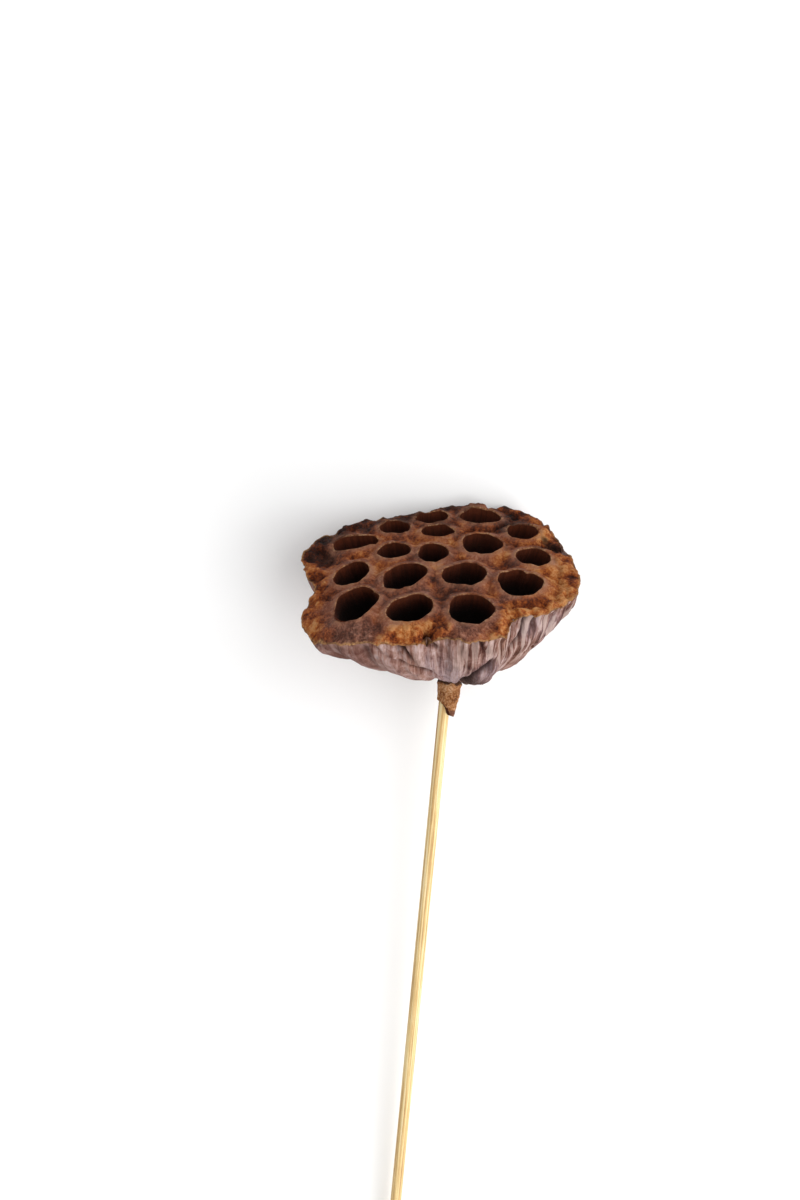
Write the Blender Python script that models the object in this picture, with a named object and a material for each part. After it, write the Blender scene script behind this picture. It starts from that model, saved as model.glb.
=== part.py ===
"""A dried lotus seed pod on a reed stick, lying on its side.

Run it with: blender --background --python part.py

The pod is one piece: a domed face with seventeen open seed cells, a ragged rim, a creased
flank that narrows to the pod's own short stalk, and a torn socket in the end of that stalk.
The reed is the second piece. It stands in the socket with a small gap all round.

The pod is shaped in the frame of its face and then laid down. In that frame the origin is the
middle of the face, +X is to the right, +Y is to the rim's far side and +Z is out of the face.
Lengths are in millimetres until a mesh is made, which turns them into metres.
"""

import math

import bmesh
import bpy
import numpy as np
from mathutils import Matrix, Vector
from mathutils.geometry import delaunay_2d_cdt

MM = 0.001

# The pose: how far the face leans back from level, and where its middle lies above the surface.
FACE_LEAN = 56.0
FACE_AT = (-0.15, 143.37, 38.15)

# The rim: bearing in degrees, radius and height of the edge at that bearing.
RIM = (
    (0, 49.9, 0.0),
    (15, 48.8, 0.5),
    (30, 49.2, 1.0),
    (45, 51.0, 0.5),
    (56, 51.8, 0.0),
    (72, 46.8, 1.0),
    (85, 43.8, 1.0),
    (98, 40.2, 0.0),
    (112, 40.8, 0.0),
    (127, 44.5, 0.5),
    (142, 45.8, 1.0),
    (155, 49.5, 1.0),
    (170, 51.2, 0.0),
    (183, 47.6, -1.0),
    (193, 46.8, -2.0),
    (204, 54.6, -6.0),
    (216, 55.0, -8.0),
    (226, 53.0, -5.0),
    (240, 46.8, -3.0),
    (257, 42.6, -2.5),
    (272, 40.6, -1.5),
    (290, 43.4, -2.0),
    (300, 44.5, -1.0),
    (310, 41.4, 1.0),
    (325, 45.6, 0.0),
    (342, 50.3, -0.5),
)
# Tears in the rim: bearing, depth and half width in degrees.
NOTCHES = (
    (65, 4.8, 2.3),
    (192, 0.9, 3.0),
    (123, 1.6, 2.4),
    (263, 1.6, 2.4),
    (148, 1.2, 2.2),
    (318, 1.0, 2.4),
)
RAG_HEIGHT = 0.55
RAG_LENGTH = 8.0
USUAL_RADIUS = 45.0

# The seed cells: where the mouth lies on the face, its half length and half width, and its turn.
CELLS = (
    (-31.1, 15.6, 8.4, 4.6, 14),
    (-16.3, 25.9, 5.7, 5.0, 5),
    (-2.5, 33.0, 6.1, 4.0, 8),
    (15.2, 33.5, 7.6, 5.4, -3),
    (-0.4, 22.6, 6.2, 4.6, 3),
    (30.4, 22.9, 5.7, 5.2, -8),
    (-16.7, 8.6, 6.2, 5.2, 20),
    (-2.5, 6.6, 6.5, 5.5, 80),
    (15.4, 13.2, 7.4, 7.2, 10),
    (34.0, 5.9, 6.4, 5.8, -5),
    (-31.9, -4.9, 7.6, 5.5, 50),
    (-13.0, -8.2, 9.2, 6.5, 46),
    (8.7, -7.3, 8.3, 6.8, 20),
    (28.5, -11.2, 8.2, 7.9, 10),
    (-30.2, -22.4, 9.4, 7.0, 55),
    (-10.9, -26.9, 8.8, 6.4, 30),
    (10.6, -27.3, 8.1, 7.8, 10),
)
CELL_DEPTH = 15.0
SHALLOWER_AT_RIM = 0.3
CELL_LEAN_IN = 0.14
# Each row of a cell's wall: share of its depth, and size against the mouth.
CELL_ROWS = ((0.08, 1.03), (0.38, 1.0), (0.72, 0.9), (0.95, 0.66))
MOUTH_WOBBLE = 0.035

# The face: a low dome with hollows where no cell grew. Round each mouth stands a thin lip on a
# broad collar, each with its height, its place outside the mouth and its width.
CROWN = 3.2
LIP_HEIGHT = 0.7
LIP_AT = 0.8
LIP_WIDTH = 0.9
COLLAR_HEIGHT = 0.8
COLLAR_AT = 0.9
COLLAR_WIDTH = 2.6
# The crumbly margin inside the rim: its width, its mean height and how its lumps vary.
CRUST_WIDTH = 7.0
CRUST_HEIGHT = 0.8
CRUST_LENGTH = 8.0
CRUST_LUMPS = 1.3
# Hollows: place, radius and depth.
HOLLOWS = (
    (-42.0, 10.0, 4.6, 2.6),
    (41.0, 16.5, 3.6, 2.2),
    (-4.5, -36.6, 2.4, 1.8),
    (23.5, -1.2, 2.6, 0.9),
    (-22.0, -14.5, 3.0, 0.8),
    (0.0, -17.0, 3.4, 0.9),
)

# The flank, from the rim down to the stalk.
BOWL_DEPTH = 38.5
SEAT_RADIUS = 5.6
STALK_AT = (4.25, -4.5)
UNDERCUT = 1.1
UNDERCUT_REACH = 0.035
# How the flank runs in from the rim: bearing and power. 1 is a round bowl, 3 a flared lip.
FULLNESS = (
    (0, 2.8),
    (30, 2.0),
    (45, 2.0),
    (60, 2.9),
    (75, 3.0),
    (90, 1.7),
    (105, 0.95),
    (120, 1.1),
    (135, 1.4),
    (155, 2.2),
    (180, 2.7),
    (205, 3.3),
    (220, 3.4),
    (235, 2.0),
    (250, 1.6),
    (265, 1.5),
    (280, 1.35),
    (295, 1.2),
    (310, 1.2),
    (325, 1.5),
    (340, 2.5),
)
# Fine upright ribs: depth and length of wave. They fade towards the stalk, and on the side that
# the pod lies on, which has this bearing and half width in degrees.
RIBS = ((0.8, 9.0), (0.6, 4.6))
RIB_FADE = 0.7
RIB_DRIFT = 12.0
UNDERSIDE = (90, 30)
# Creases and ridges of the flank: a path of share of the way down and bearing, then the depth
# and the half width. A depth below 0 is a ridge.
CREASES = (
    (((0.0, 261), (0.04, 265), (0.1, 269), (0.24, 268), (0.38, 269)), 1.7, 1.7),
    (((0.02, 276), (0.24, 277), (0.45, 278)), -0.9, 3.4),
    (((0.0, 286), (0.22, 283), (0.5, 281)), 1.2, 1.5),
    (((0.17, 298), (0.24, 296), (0.32, 292), (0.44, 287), (0.6, 284)), 3.8, 1.9),
    (((0.0, 317), (0.06, 316), (0.15, 316), (0.32, 311)), 2.2, 1.5),
    (((0.0, 250), (0.06, 251), (0.1, 253), (0.24, 256)), 1.8, 1.4),
    (((0.13, 243), (0.18, 248), (0.23, 254), (0.33, 261), (0.42, 268)), 2.2, 1.5),
    (((0.4, 232), (1.0, 222)), 2.8, 1.6),
    (((0.6, 322), (1.0, 318)), 4.0, 2.2),
    (((0.45, 196), (1.0, 205)), 2.4, 2.4),
    (((0.5, 350), (1.0, 346)), 1.8, 2.2),
    (((0.35, 20), (1.0, 14)), 2.8, 2.4),
    (((0.25, 60), (1.0, 48)), 2.4, 2.2),
    (((0.5, 88), (1.0, 84)), 2.0, 2.2),
    (((0.5, 108), (1.0, 112)), 2.8, 2.4),
    (((0.35, 144), (1.0, 150)), 2.6, 2.4),
    (((0.45, 170), (1.0, 180)), 1.8, 2.2),
)
# How a crease starts and ends: it fades over this share of its length, a little past each end.
CREASE_FADE = 0.35
CREASE_PAST_END = 0.02
# Slits that run down from the rim: bearing, depth, half width and length as a share of the flank.
SLITS = (
    (330, 1.3, 1.4, 0.26),
    (341, 1.1, 1.3, 0.24),
    (300, 0.9, 1.5, 0.25),
    (236, 1.0, 1.4, 0.28),
    (224, 0.9, 1.4, 0.28),
    (353, 1.0, 1.4, 0.28),
    (36, 1.4, 1.8, 0.36),
    (96, 1.5, 1.8, 0.3),
    (133, 1.3, 1.8, 0.34),
    (172, 1.4, 1.8, 0.3),
)

# The stalk stub and its socket.
STALK_LENGTH = 12.0
STALK_END_RADIUS = 3.95
# Each row of the stalk: share of its length and radius.
STALK_ROWS = ((0.07, 4.5), (0.16, 4.15), (0.3, 4.4), (0.48, 4.5), (0.66, 4.35), (0.84, 4.2))
STALK_KNOBS = 0.2
TORN_EDGE = 0.35
TORN_THICKNESS = 0.4
# The torn end runs on by these lengths at these bearings, with these half widths in degrees.
TORN_TONGUES = ((4.2, -50, 22), (3.2, -84, 46), (0.9, 180, 20))
SOCKET_OFFSET = 1.15
SOCKET_GAP = 0.3
SOCKET_INSIDE = 6.0

# The reed.
REED_RADIUS = 2.1
REED_FREE_LENGTH = 280.0
REED_SIDE_LEAN = -0.096
REED_TAPER = 0.94
REED_OVAL = 0.05
REED_FLAT = 0.35

# How finely each part is meshed.
RIM_POINTS = 160
MOUTH_POINTS = 20
REED_POINTS = 20
REED_ROWS = 12
FILL_SPACING = 4.6
FACE_REACH = 60.0
SHARP_EDGE = 50.0
FLANK_ROWS = (
    0.03, 0.075, 0.13, 0.19, 0.26, 0.33, 0.41, 0.49, 0.57, 0.65, 0.73, 0.8, 0.86, 0.91, 0.955, 1.0
)
THIN_OUT_AT = (0.57, 0.86)
LIP_RINGS = (0.8, 2.2)
CRUST_RINGS = (1.6, 4.2)
# How far points of the face's mesh stay from a ring of another kind.
LIP_CLEARANCE = 0.5
CRUST_CLEARANCE = 0.8
FILL_CLEARANCE = 1.5


def clear_scene():
    for thing in list(bpy.data.objects):
        bpy.data.objects.remove(thing)


def smooth_step(low, high, value):
    share = np.clip((value - low) / (high - low), 0.0, 1.0)
    return share * share * (3.0 - 2.0 * share)


def ripples(points, length, seed, waves=24):
    """A smooth random field of about -1 to 1, whose bumps are about half of length across."""
    draw = np.random.default_rng(seed)
    heading = draw.normal(size=(waves, points.shape[1]))
    heading /= np.linalg.norm(heading, axis=1)[:, None]
    pace = 2.0 * math.pi / length * draw.uniform(0.7, 1.3, waves)
    start = draw.uniform(0.0, 2.0 * math.pi, waves)
    field = np.cos(points @ (heading * pace[:, None]).T + start).sum(axis=1)
    return field / math.sqrt(2.0 * waves)


def even_bearings(count):
    return np.arange(count) * (2.0 * math.pi / count)


def bearing_gap(bearing, other):
    """How far two bearings lie apart, in radians, the short way round."""
    return np.abs((bearing - other + math.pi) % (2.0 * math.pi) - math.pi)


def groove(bearing, middle_degrees, half_width_degrees):
    """1 on a bearing, falling smoothly to 0 on both sides of it."""
    gap = bearing_gap(bearing, math.radians(middle_degrees))
    return np.exp(-((gap / math.radians(half_width_degrees)) ** 2))


def across_groove(bearing, radius, middle_degrees, half_width):
    """Like groove, but with its half width as a length at the given radius."""
    gap = bearing_gap(bearing, math.radians(middle_degrees)) * radius
    return np.exp(-((gap / half_width) ** 2))


def round_the_rim(bearing, table, column):
    """A column of a table by bearing, on a smooth closed curve through its points."""
    table = np.array(table)
    turn = 360.0
    at = np.concatenate([table[-2:, 0] - turn, table[:, 0], table[:3, 0] + turn])
    value = np.concatenate([table[-2:, column], table[:, column], table[:3, column]])
    slope = np.gradient(value, at)
    where = np.degrees(bearing) % turn
    low = np.searchsorted(at, where, side="right") - 1
    span = at[low + 1] - at[low]
    share = (where - at[low]) / span
    rise = value[low + 1] - value[low]
    cubic = share * share * (3.0 - 2.0 * share)
    leave = share * (1.0 - share) ** 2 * span * slope[low]
    arrive = share * share * (share - 1.0) * span * slope[low + 1]
    return value[low] + rise * cubic + leave + arrive


def on_circle(bearing, radius=USUAL_RADIUS):
    return np.stack([np.cos(bearing), np.sin(bearing)], axis=1) * radius


def rim_radius(bearing):
    radius = round_the_rim(bearing, RIM, 1)
    radius = radius + RAG_HEIGHT * ripples(on_circle(bearing), RAG_LENGTH, 11)
    for middle, depth, half_width in NOTCHES:
        radius = radius - depth * groove(bearing, middle, half_width)
    return radius


def rim_height(bearing):
    rag = 0.5 * RAG_HEIGHT * ripples(on_circle(bearing), RAG_LENGTH, 12)
    return round_the_rim(bearing, RIM, 2) + rag


def mouth_radius(cell, bearing):
    """The mouth's edge, as a distance from the cell's middle at each bearing."""
    _, _, length, width, turn = CELLS[cell]
    local = bearing - math.radians(turn)
    oval = length * width / np.sqrt((width * np.cos(local)) ** 2 + (length * np.sin(local)) ** 2)
    phase = 2.4 * cell
    wobble = np.cos(3.0 * local + phase) + 0.7 * np.cos(5.0 * local + 2.0 * phase)
    return oval * (1.0 + MOUTH_WOBBLE * wobble)


def mouth_points(cell, offset=0.0):
    """Points of a mouth's edge, closer together at the ends of its oval."""
    x, y, length, width, turn = CELLS[cell]
    step = even_bearings(MOUTH_POINTS)
    bearing = np.arctan2(width * np.sin(step), length * np.cos(step)) + math.radians(turn)
    return on_circle(bearing, 1.0) * (mouth_radius(cell, bearing) + offset)[:, None] + (x, y)


def beside_mouth(points, cell):
    """How far each point of the face lies outside a cell's mouth."""
    away = points - np.array(CELLS[cell][:2])
    bearing = np.arctan2(away[:, 1], away[:, 0])
    return np.hypot(away[:, 0], away[:, 1]) - mouth_radius(cell, bearing)


def nearest_mouth(points, but=None):
    """How far each point of the face lies outside the nearest mouth, but for one cell's."""
    cells = [cell for cell in range(len(CELLS)) if cell != but]
    return np.min([beside_mouth(points, cell) for cell in cells], axis=0)


def inside_rim(points):
    """How far each point of the face lies inside the rim."""
    bearing = np.arctan2(points[:, 1], points[:, 0])
    return rim_radius(bearing) - np.hypot(points[:, 0], points[:, 1])


def face_height(points):
    """Height of the skin over each point of the face."""
    bearing = np.arctan2(points[:, 1], points[:, 0])
    edge = rim_radius(bearing)
    reach = np.hypot(points[:, 0], points[:, 1]) / edge
    height = CROWN * (1.0 - reach**2) + rim_height(bearing) * reach**5
    beside = nearest_mouth(points)
    height += LIP_HEIGHT * np.exp(-(((beside - LIP_AT) / LIP_WIDTH) ** 2))
    height += COLLAR_HEIGHT * np.exp(-(((beside - COLLAR_AT) / COLLAR_WIDTH) ** 2))
    in_from_rim = edge * (1.0 - reach)
    crust = np.exp(-((in_from_rim - 0.5 * CRUST_WIDTH) / (0.5 * CRUST_WIDTH)) ** 2)
    height += CRUST_HEIGHT * crust * (1.0 + CRUST_LUMPS * ripples(points, CRUST_LENGTH, 21))
    for x, y, radius, depth in HOLLOWS:
        gap = np.hypot(points[:, 0] - x, points[:, 1] - y)
        height -= depth * np.exp(-((gap / radius) ** 2))
    return height


def flank_row(bearing, share):
    """Points of the flank at a share of the way from the rim to the stalk."""
    angle = 0.5 * math.pi * share
    depth = math.sin(angle)
    power = round_the_rim(bearing, FULLNESS, 1)
    ring = SEAT_RADIUS + (rim_radius(bearing) - SEAT_RADIUS) * max(math.cos(angle), 0.0) ** power
    points = np.stack(
        [
            STALK_AT[0] * depth**3 + ring * np.cos(bearing),
            STALK_AT[1] * depth**3 + ring * np.sin(bearing),
            rim_height(bearing) * (1.0 - depth) - BOWL_DEPTH * depth,
        ],
        axis=1,
    )
    inward = UNDERCUT * (1.0 - math.exp(-share / UNDERCUT_REACH)) * (1.0 - share) ** 3
    inward = inward + folds(bearing, ring, share)
    streaks = np.column_stack([on_circle(bearing), np.full(len(bearing), RIB_DRIFT * share)])
    fade = smooth_step(0.0, 0.1, share) * (1.0 - RIB_FADE * share)
    fade = fade * (1.0 - RIB_FADE * groove(bearing, *UNDERSIDE))
    for seed, (height, length) in enumerate(RIBS):
        inward = inward + height * fade * ripples(streaks, length, 31 + seed)
    outward = points / np.linalg.norm(points, axis=1)[:, None]
    return points - outward * inward[:, None]


def crease_bearing(path, share):
    """The bearing of a crease at a share of the way down, and how much of it is there."""
    shares, bearings = zip(*path)
    start, end = shares[0], shares[-1]
    fade = CREASE_FADE * (end - start)
    present = 1.0
    if start > 0.0:
        present *= smooth_step(start - CREASE_PAST_END, start + fade, share)
    if end < 1.0:
        present *= 1.0 - smooth_step(end - fade, end + CREASE_PAST_END, share)
    return np.interp(share, shares, bearings), present


def folds(bearing, ring, share):
    """How deep the creases and slits cut the flank at a share of the way down."""
    inward = np.zeros(len(bearing))
    for path, deep, half_width in CREASES:
        middle, present = crease_bearing(path, share)
        inward += deep * present * across_groove(bearing, ring, middle, half_width)
    for middle, deep, half_width, length in SLITS:
        along = smooth_step(0.0, 0.06, share) * (1.0 - smooth_step(0.5 * length, length, share))
        inward += deep * along * across_groove(bearing, ring, middle, half_width)
    return inward


def ring_of(bearing, radius, middle, across, up):
    """A ring of points about an axis; radius may differ from point to point."""
    side = np.outer(np.cos(bearing) * radius, across)
    return np.array(middle) + side + np.outer(np.sin(bearing) * radius, up)


def lay_down():
    """The matrix that lays the pod's own frame on the surface, still in millimetres."""
    return Matrix.Translation(FACE_AT) @ Matrix.Rotation(math.radians(-FACE_LEAN), 4, "X")


def stalk_root():
    return Vector((STALK_AT[0], STALK_AT[1], -BOWL_DEPTH))


def reed_heading():
    """The reed's direction as it lies, from the pod to the end that touches the surface."""
    drop = (lay_down() @ stalk_root()).z - REED_RADIUS * REED_TAPER + REED_FLAT
    return Vector((REED_SIDE_LEAN, -1.0, -drop / REED_FREE_LENGTH)).normalized()


def sideways(along):
    """The direction across a heading that is nearest to +X."""
    across = Vector((1, 0, 0))
    return (across - across.dot(along) * along).normalized()


def stalk_axes():
    """The stalk's direction and the two directions across it, in the pod's frame."""
    along = lay_down().to_3x3().inverted() @ reed_heading()
    across = sideways(along)
    return along, across, across.cross(along)


def crust_points():
    """Rings of points inside the rim, clear of the mouths."""
    bearing = even_bearings(RIM_POINTS)
    rings = []
    for thin, inset in enumerate(CRUST_RINGS, start=1):
        ring = on_circle(bearing, 1.0) * (rim_radius(bearing) - inset)[:, None]
        rings.append(ring[::thin])
    rings = np.concatenate(rings)
    return rings[nearest_mouth(rings) > CRUST_CLEARANCE]


def lip_points():
    """Rings of points round each mouth, clear of the others and of the crust's rings."""
    found = []
    for cell in range(len(CELLS)):
        for offset in LIP_RINGS:
            ring = mouth_points(cell, offset)
            free = nearest_mouth(ring, but=cell) > offset + LIP_CLEARANCE
            free &= inside_rim(ring) > CRUST_RINGS[-1] + CRUST_CLEARANCE
            found.append(ring[free])
    return np.concatenate(found)


def fill_points():
    """A staggered grid over what the rings leave of the face."""
    steps = np.arange(-FACE_REACH, FACE_REACH, FILL_SPACING)
    x, y = np.meshgrid(steps, steps * math.sin(math.pi / 3.0))
    x[::2] += 0.5 * FILL_SPACING
    grid = np.column_stack([x.ravel(), y.ravel()])
    free = nearest_mouth(grid) > LIP_RINGS[-1] + FILL_CLEARANCE
    free &= inside_rim(grid) > CRUST_RINGS[-1] + FILL_CLEARANCE
    return grid[free]


def outlines():
    """The rim's points and then each mouth's, one closed loop after another."""
    bearing = even_bearings(RIM_POINTS)
    rim = on_circle(bearing, 1.0) * rim_radius(bearing)[:, None]
    return [rim] + [mouth_points(cell) for cell in range(len(CELLS))]


def inside_loop(point, loop):
    """True if a point lies in a closed loop: a line out of it crosses the loop an odd count of times."""
    x, y = (loop - point).T
    next_x, next_y = np.roll(x, -1), np.roll(y, -1)
    crossed = (y > 0.0) != (next_y > 0.0)
    slope = (next_x - x)[crossed] / (next_y - y)[crossed]
    return np.count_nonzero(x[crossed] - y[crossed] * slope > 0.0) % 2 == 1


def fill_face(mesh):
    """The face's skin between the rim and the mouths. Returns the loop of vertices of each."""
    loops = outlines()
    points = np.concatenate(loops + [crust_points(), lip_points(), fill_points()])
    edges = []
    starts = []
    begin = 0
    for loop in loops:
        count = len(loop)
        starts.append(begin)
        edges += [(begin + i, begin + (i + 1) % count) for i in range(count)]
        begin += count
    filled = delaunay_2d_cdt([Vector(p) for p in points], edges, [], 0, 1e-6)
    flat = np.array([tuple(v) for v in filled[0]])
    height = face_height(flat)
    made = [mesh.verts.new((x, y, z)) for (x, y), z in zip(flat, height)]
    for corners in filled[2]:
        middle = flat[list(corners)].mean(axis=0)
        in_mouth = any(inside_loop(middle, loop) for loop in loops[1:])
        if inside_loop(middle, loops[0]) and not in_mouth:
            mesh.faces.new([made[i] for i in corners])
    place = {original: new for new, originals in enumerate(filled[3]) for original in originals}
    return [[made[place[start + i]] for i in range(len(loop))] for start, loop in zip(starts, loops)]


def grow_row(mesh, loop, points):
    """Extrudes a closed loop of vertices to a new row at the given points."""
    edges = [mesh.edges.get((loop[i - 1], loop[i])) for i in range(len(loop))]
    grown = bmesh.ops.extrude_edge_only(mesh, edges=edges)["geom"]
    fresh = {vertex for vertex in grown if isinstance(vertex, bmesh.types.BMVert)}
    row = []
    for vertex in loop:
        beside = [edge.other_vert(vertex) for edge in vertex.link_edges]
        row.append(next(other for other in beside if other in fresh))
    for vertex, point in zip(row, points):
        vertex.co = point
    return row


def thin_out(mesh, loop):
    """Welds every second vertex of a row to the one before it, to halve the row."""
    bmesh.ops.weld_verts(mesh, targetmap={loop[i + 1]: loop[i] for i in range(0, len(loop), 2)})
    return loop[::2]


def close_loop(mesh, loop, point):
    """Closes a loop with a fan of triangles about a point."""
    cap = bmesh.ops.contextual_create(mesh, geom=loop)["faces"]
    middle = bmesh.ops.poke(mesh, faces=cap)["verts"][0]
    middle.co = point


def grow_cell(mesh, cell, loop):
    """Takes a mouth's edge down into its cell and closes the bottom."""
    middle = np.array(CELLS[cell][:2])
    from_middle = mouth_points(cell) - middle
    reach = np.hypot(*middle) / USUAL_RADIUS
    depth = CELL_DEPTH * (1.0 - SHALLOWER_AT_RIM * reach**4)
    top = CROWN * (1.0 - reach**2)
    for share, size in CELL_ROWS:
        row = from_middle * size + middle * (1.0 - CELL_LEAN_IN * share)
        loop = grow_row(mesh, loop, [(x, y, top - depth * share) for x, y in row])
    close_loop(mesh, loop, (*(middle * (1.0 - CELL_LEAN_IN)), top - depth))


def grow_flank(mesh, loop):
    """Takes the rim down the flank to the seat of the stalk."""
    bearing = even_bearings(RIM_POINTS)
    for share in FLANK_ROWS:
        loop = grow_row(mesh, loop, flank_row(bearing, share))
        if share in THIN_OUT_AT:
            loop = thin_out(mesh, loop)
            bearing = bearing[::2]
    return loop, bearing


def torn_end(bearing):
    """How far the torn end of the stalk runs on at each bearing."""
    torn = TORN_EDGE * ripples(on_circle(bearing, STALK_END_RADIUS), STALK_END_RADIUS, 41)
    for length, middle, half_width in TORN_TONGUES:
        torn = torn + length * groove(bearing, middle, half_width)
    return torn


def grow_stalk(mesh, loop, bearing):
    """The stalk's short stub, with the socket that takes the reed."""
    along, across, up = stalk_axes()
    root = stalk_root()
    knobs = STALK_KNOBS * ripples(on_circle(bearing, STALK_END_RADIUS), STALK_END_RADIUS, 42)
    for share, radius in STALK_ROWS:
        middle = root + along * (STALK_LENGTH * share)
        loop = grow_row(mesh, loop, ring_of(bearing, radius + knobs, middle, across, up))
    end = STALK_LENGTH + torn_end(bearing)
    rim = ring_of(bearing, STALK_END_RADIUS, root, across, up) + np.outer(end, along)
    loop = grow_row(mesh, loop, rim)
    socket = root - across * SOCKET_OFFSET
    bore = REED_RADIUS + SOCKET_GAP
    mouth = ring_of(bearing, bore, socket, across, up) + np.outer(end - TORN_THICKNESS, along)
    loop = grow_row(mesh, loop, mouth)
    for station in (0.5 * STALK_LENGTH, -SOCKET_INSIDE):
        loop = grow_row(mesh, loop, ring_of(bearing, bore, socket + along * station, across, up))
    close_loop(mesh, loop, socket - along * SOCKET_INSIDE)


def lay_and_flatten(mesh, matrix):
    """Lays a mesh on the surface. What would sink below it becomes a small flat spot."""
    mesh.transform(matrix)
    for vertex in mesh.verts:
        vertex.co.z = max(vertex.co.z, 0.0)


def plain_material(name, colour, roughness):
    material = bpy.data.materials.new(name)
    material.use_nodes = True
    shader = material.node_tree.nodes["Principled BSDF"]
    shader.inputs["Base Color"].default_value = (*colour, 1.0)
    shader.inputs["Roughness"].default_value = roughness
    shader.inputs["Metallic"].default_value = 0.0
    return material


def finish_object(mesh, name, material, collection):
    """Turns a mesh of millimetres into a smooth object of metres."""
    bmesh.ops.triangulate(mesh, faces=mesh.faces[:])
    bmesh.ops.recalc_face_normals(mesh, faces=mesh.faces[:])
    bmesh.ops.scale(mesh, vec=(MM, MM, MM), verts=mesh.verts[:])
    data = bpy.data.meshes.new(name)
    mesh.to_mesh(data)
    mesh.free()
    data.shade_smooth()
    data.set_sharp_from_angle(angle=math.radians(SHARP_EDGE))
    data.materials.append(material)
    made = bpy.data.objects.new(name, data)
    collection.objects.link(made)
    return made


def make_pod(collection):
    mesh = bmesh.new()
    rim, *mouths = fill_face(mesh)
    for cell, mouth in enumerate(mouths):
        grow_cell(mesh, cell, mouth)
    seat, bearing = grow_flank(mesh, rim)
    grow_stalk(mesh, seat, bearing)
    lay_and_flatten(mesh, lay_down())
    brown = plain_material("dried_pod", (0.19, 0.085, 0.04), 0.85)
    return finish_object(mesh, "pod", brown, collection)


def make_reed(collection):
    """The reed stick, slightly oval and tapered, from the socket to the surface."""
    mesh = bmesh.new()
    length = REED_FREE_LENGTH + SOCKET_INSIDE - SOCKET_GAP
    bmesh.ops.create_cone(
        mesh, cap_ends=True, segments=REED_POINTS, radius1=REED_RADIUS, radius2=REED_RADIUS, depth=length
    )
    sides = [edge for edge in mesh.edges if abs(edge.verts[0].co.z - edge.verts[1].co.z) > REED_RADIUS]
    bmesh.ops.subdivide_edges(mesh, edges=sides, cuts=REED_ROWS)
    for vertex in mesh.verts:
        down = 0.5 + vertex.co.z / length
        taper = 1.0 + (REED_TAPER - 1.0) * down
        oval = 1.0 - REED_OVAL * math.cos(REED_ROWS * down) ** 2
        vertex.co.x *= taper
        vertex.co.y *= taper * oval
    along = reed_heading()
    across = sideways(along)
    turn = Matrix((across, along.cross(across), along)).transposed().to_4x4()
    socket = lay_down() @ stalk_root() - across * SOCKET_OFFSET
    middle = socket + along * (0.5 * length - SOCKET_INSIDE + SOCKET_GAP)
    lay_and_flatten(mesh, Matrix.Translation(middle) @ turn)
    straw = plain_material("reed", (0.78, 0.6, 0.33), 0.6)
    return finish_object(mesh, "reed", straw, collection)


def main():
    clear_scene()
    collection = bpy.data.collections.new("dried_lotus_pod")
    bpy.context.scene.collection.children.link(collection)
    make_pod(collection)
    make_reed(collection)


main()
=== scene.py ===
# %% [markdown]
# # A dried lotus pod on a reed
#
# A lotus pod is the seed head that stays when the petals have dropped. Dried, it turns into a
# woody brown funnel: a leathery face with a round cell for each seed, a torn corky rim, a
# wrinkled flank, and a stub of stalk. Florists push a pale reed into the stub, which gives the
# pod a long, straight stem.
#
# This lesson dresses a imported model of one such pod, which lies on its side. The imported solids
# are the frame: they fix where everything is. Each piece that is made here takes the place of
# one solid, with the same outline and far more surface.

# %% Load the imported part
import math

import bpy
import numpy as np
from mathutils import Matrix, Vector, noise
from mathutils.geometry import delaunay_2d_cdt


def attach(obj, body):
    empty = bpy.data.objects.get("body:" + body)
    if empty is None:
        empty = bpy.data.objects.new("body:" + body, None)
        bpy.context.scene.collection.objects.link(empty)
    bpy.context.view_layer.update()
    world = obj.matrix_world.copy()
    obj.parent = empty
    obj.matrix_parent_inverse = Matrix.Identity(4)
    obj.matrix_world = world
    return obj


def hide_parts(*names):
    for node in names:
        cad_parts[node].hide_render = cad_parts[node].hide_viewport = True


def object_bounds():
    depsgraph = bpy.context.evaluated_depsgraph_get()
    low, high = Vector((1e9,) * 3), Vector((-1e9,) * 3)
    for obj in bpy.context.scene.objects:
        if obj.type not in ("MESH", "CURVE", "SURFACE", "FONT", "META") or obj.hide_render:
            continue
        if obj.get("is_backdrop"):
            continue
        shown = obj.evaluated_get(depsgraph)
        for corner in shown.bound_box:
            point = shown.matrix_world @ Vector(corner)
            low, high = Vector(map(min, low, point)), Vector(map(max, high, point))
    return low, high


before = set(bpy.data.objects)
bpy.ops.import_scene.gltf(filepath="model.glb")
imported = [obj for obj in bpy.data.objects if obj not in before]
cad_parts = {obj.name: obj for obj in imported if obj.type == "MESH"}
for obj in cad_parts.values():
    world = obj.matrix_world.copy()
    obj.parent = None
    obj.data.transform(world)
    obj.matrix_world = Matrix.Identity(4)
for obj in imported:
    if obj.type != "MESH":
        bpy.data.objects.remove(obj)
cad_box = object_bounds()
print("solids:", sorted(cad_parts))

# %% [markdown]
# ## Sizes
#
# Lengths are in millimetres and bearings in degrees, because that is how one would measure a pod
# on a bench. The pod is shaped in the frame of its own face, where the origin is the middle of
# the face and +Z points out of it, and is laid down at the end. The rim is the main size: each
# row gives a bearing, the radius there and the height of the edge.

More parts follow.
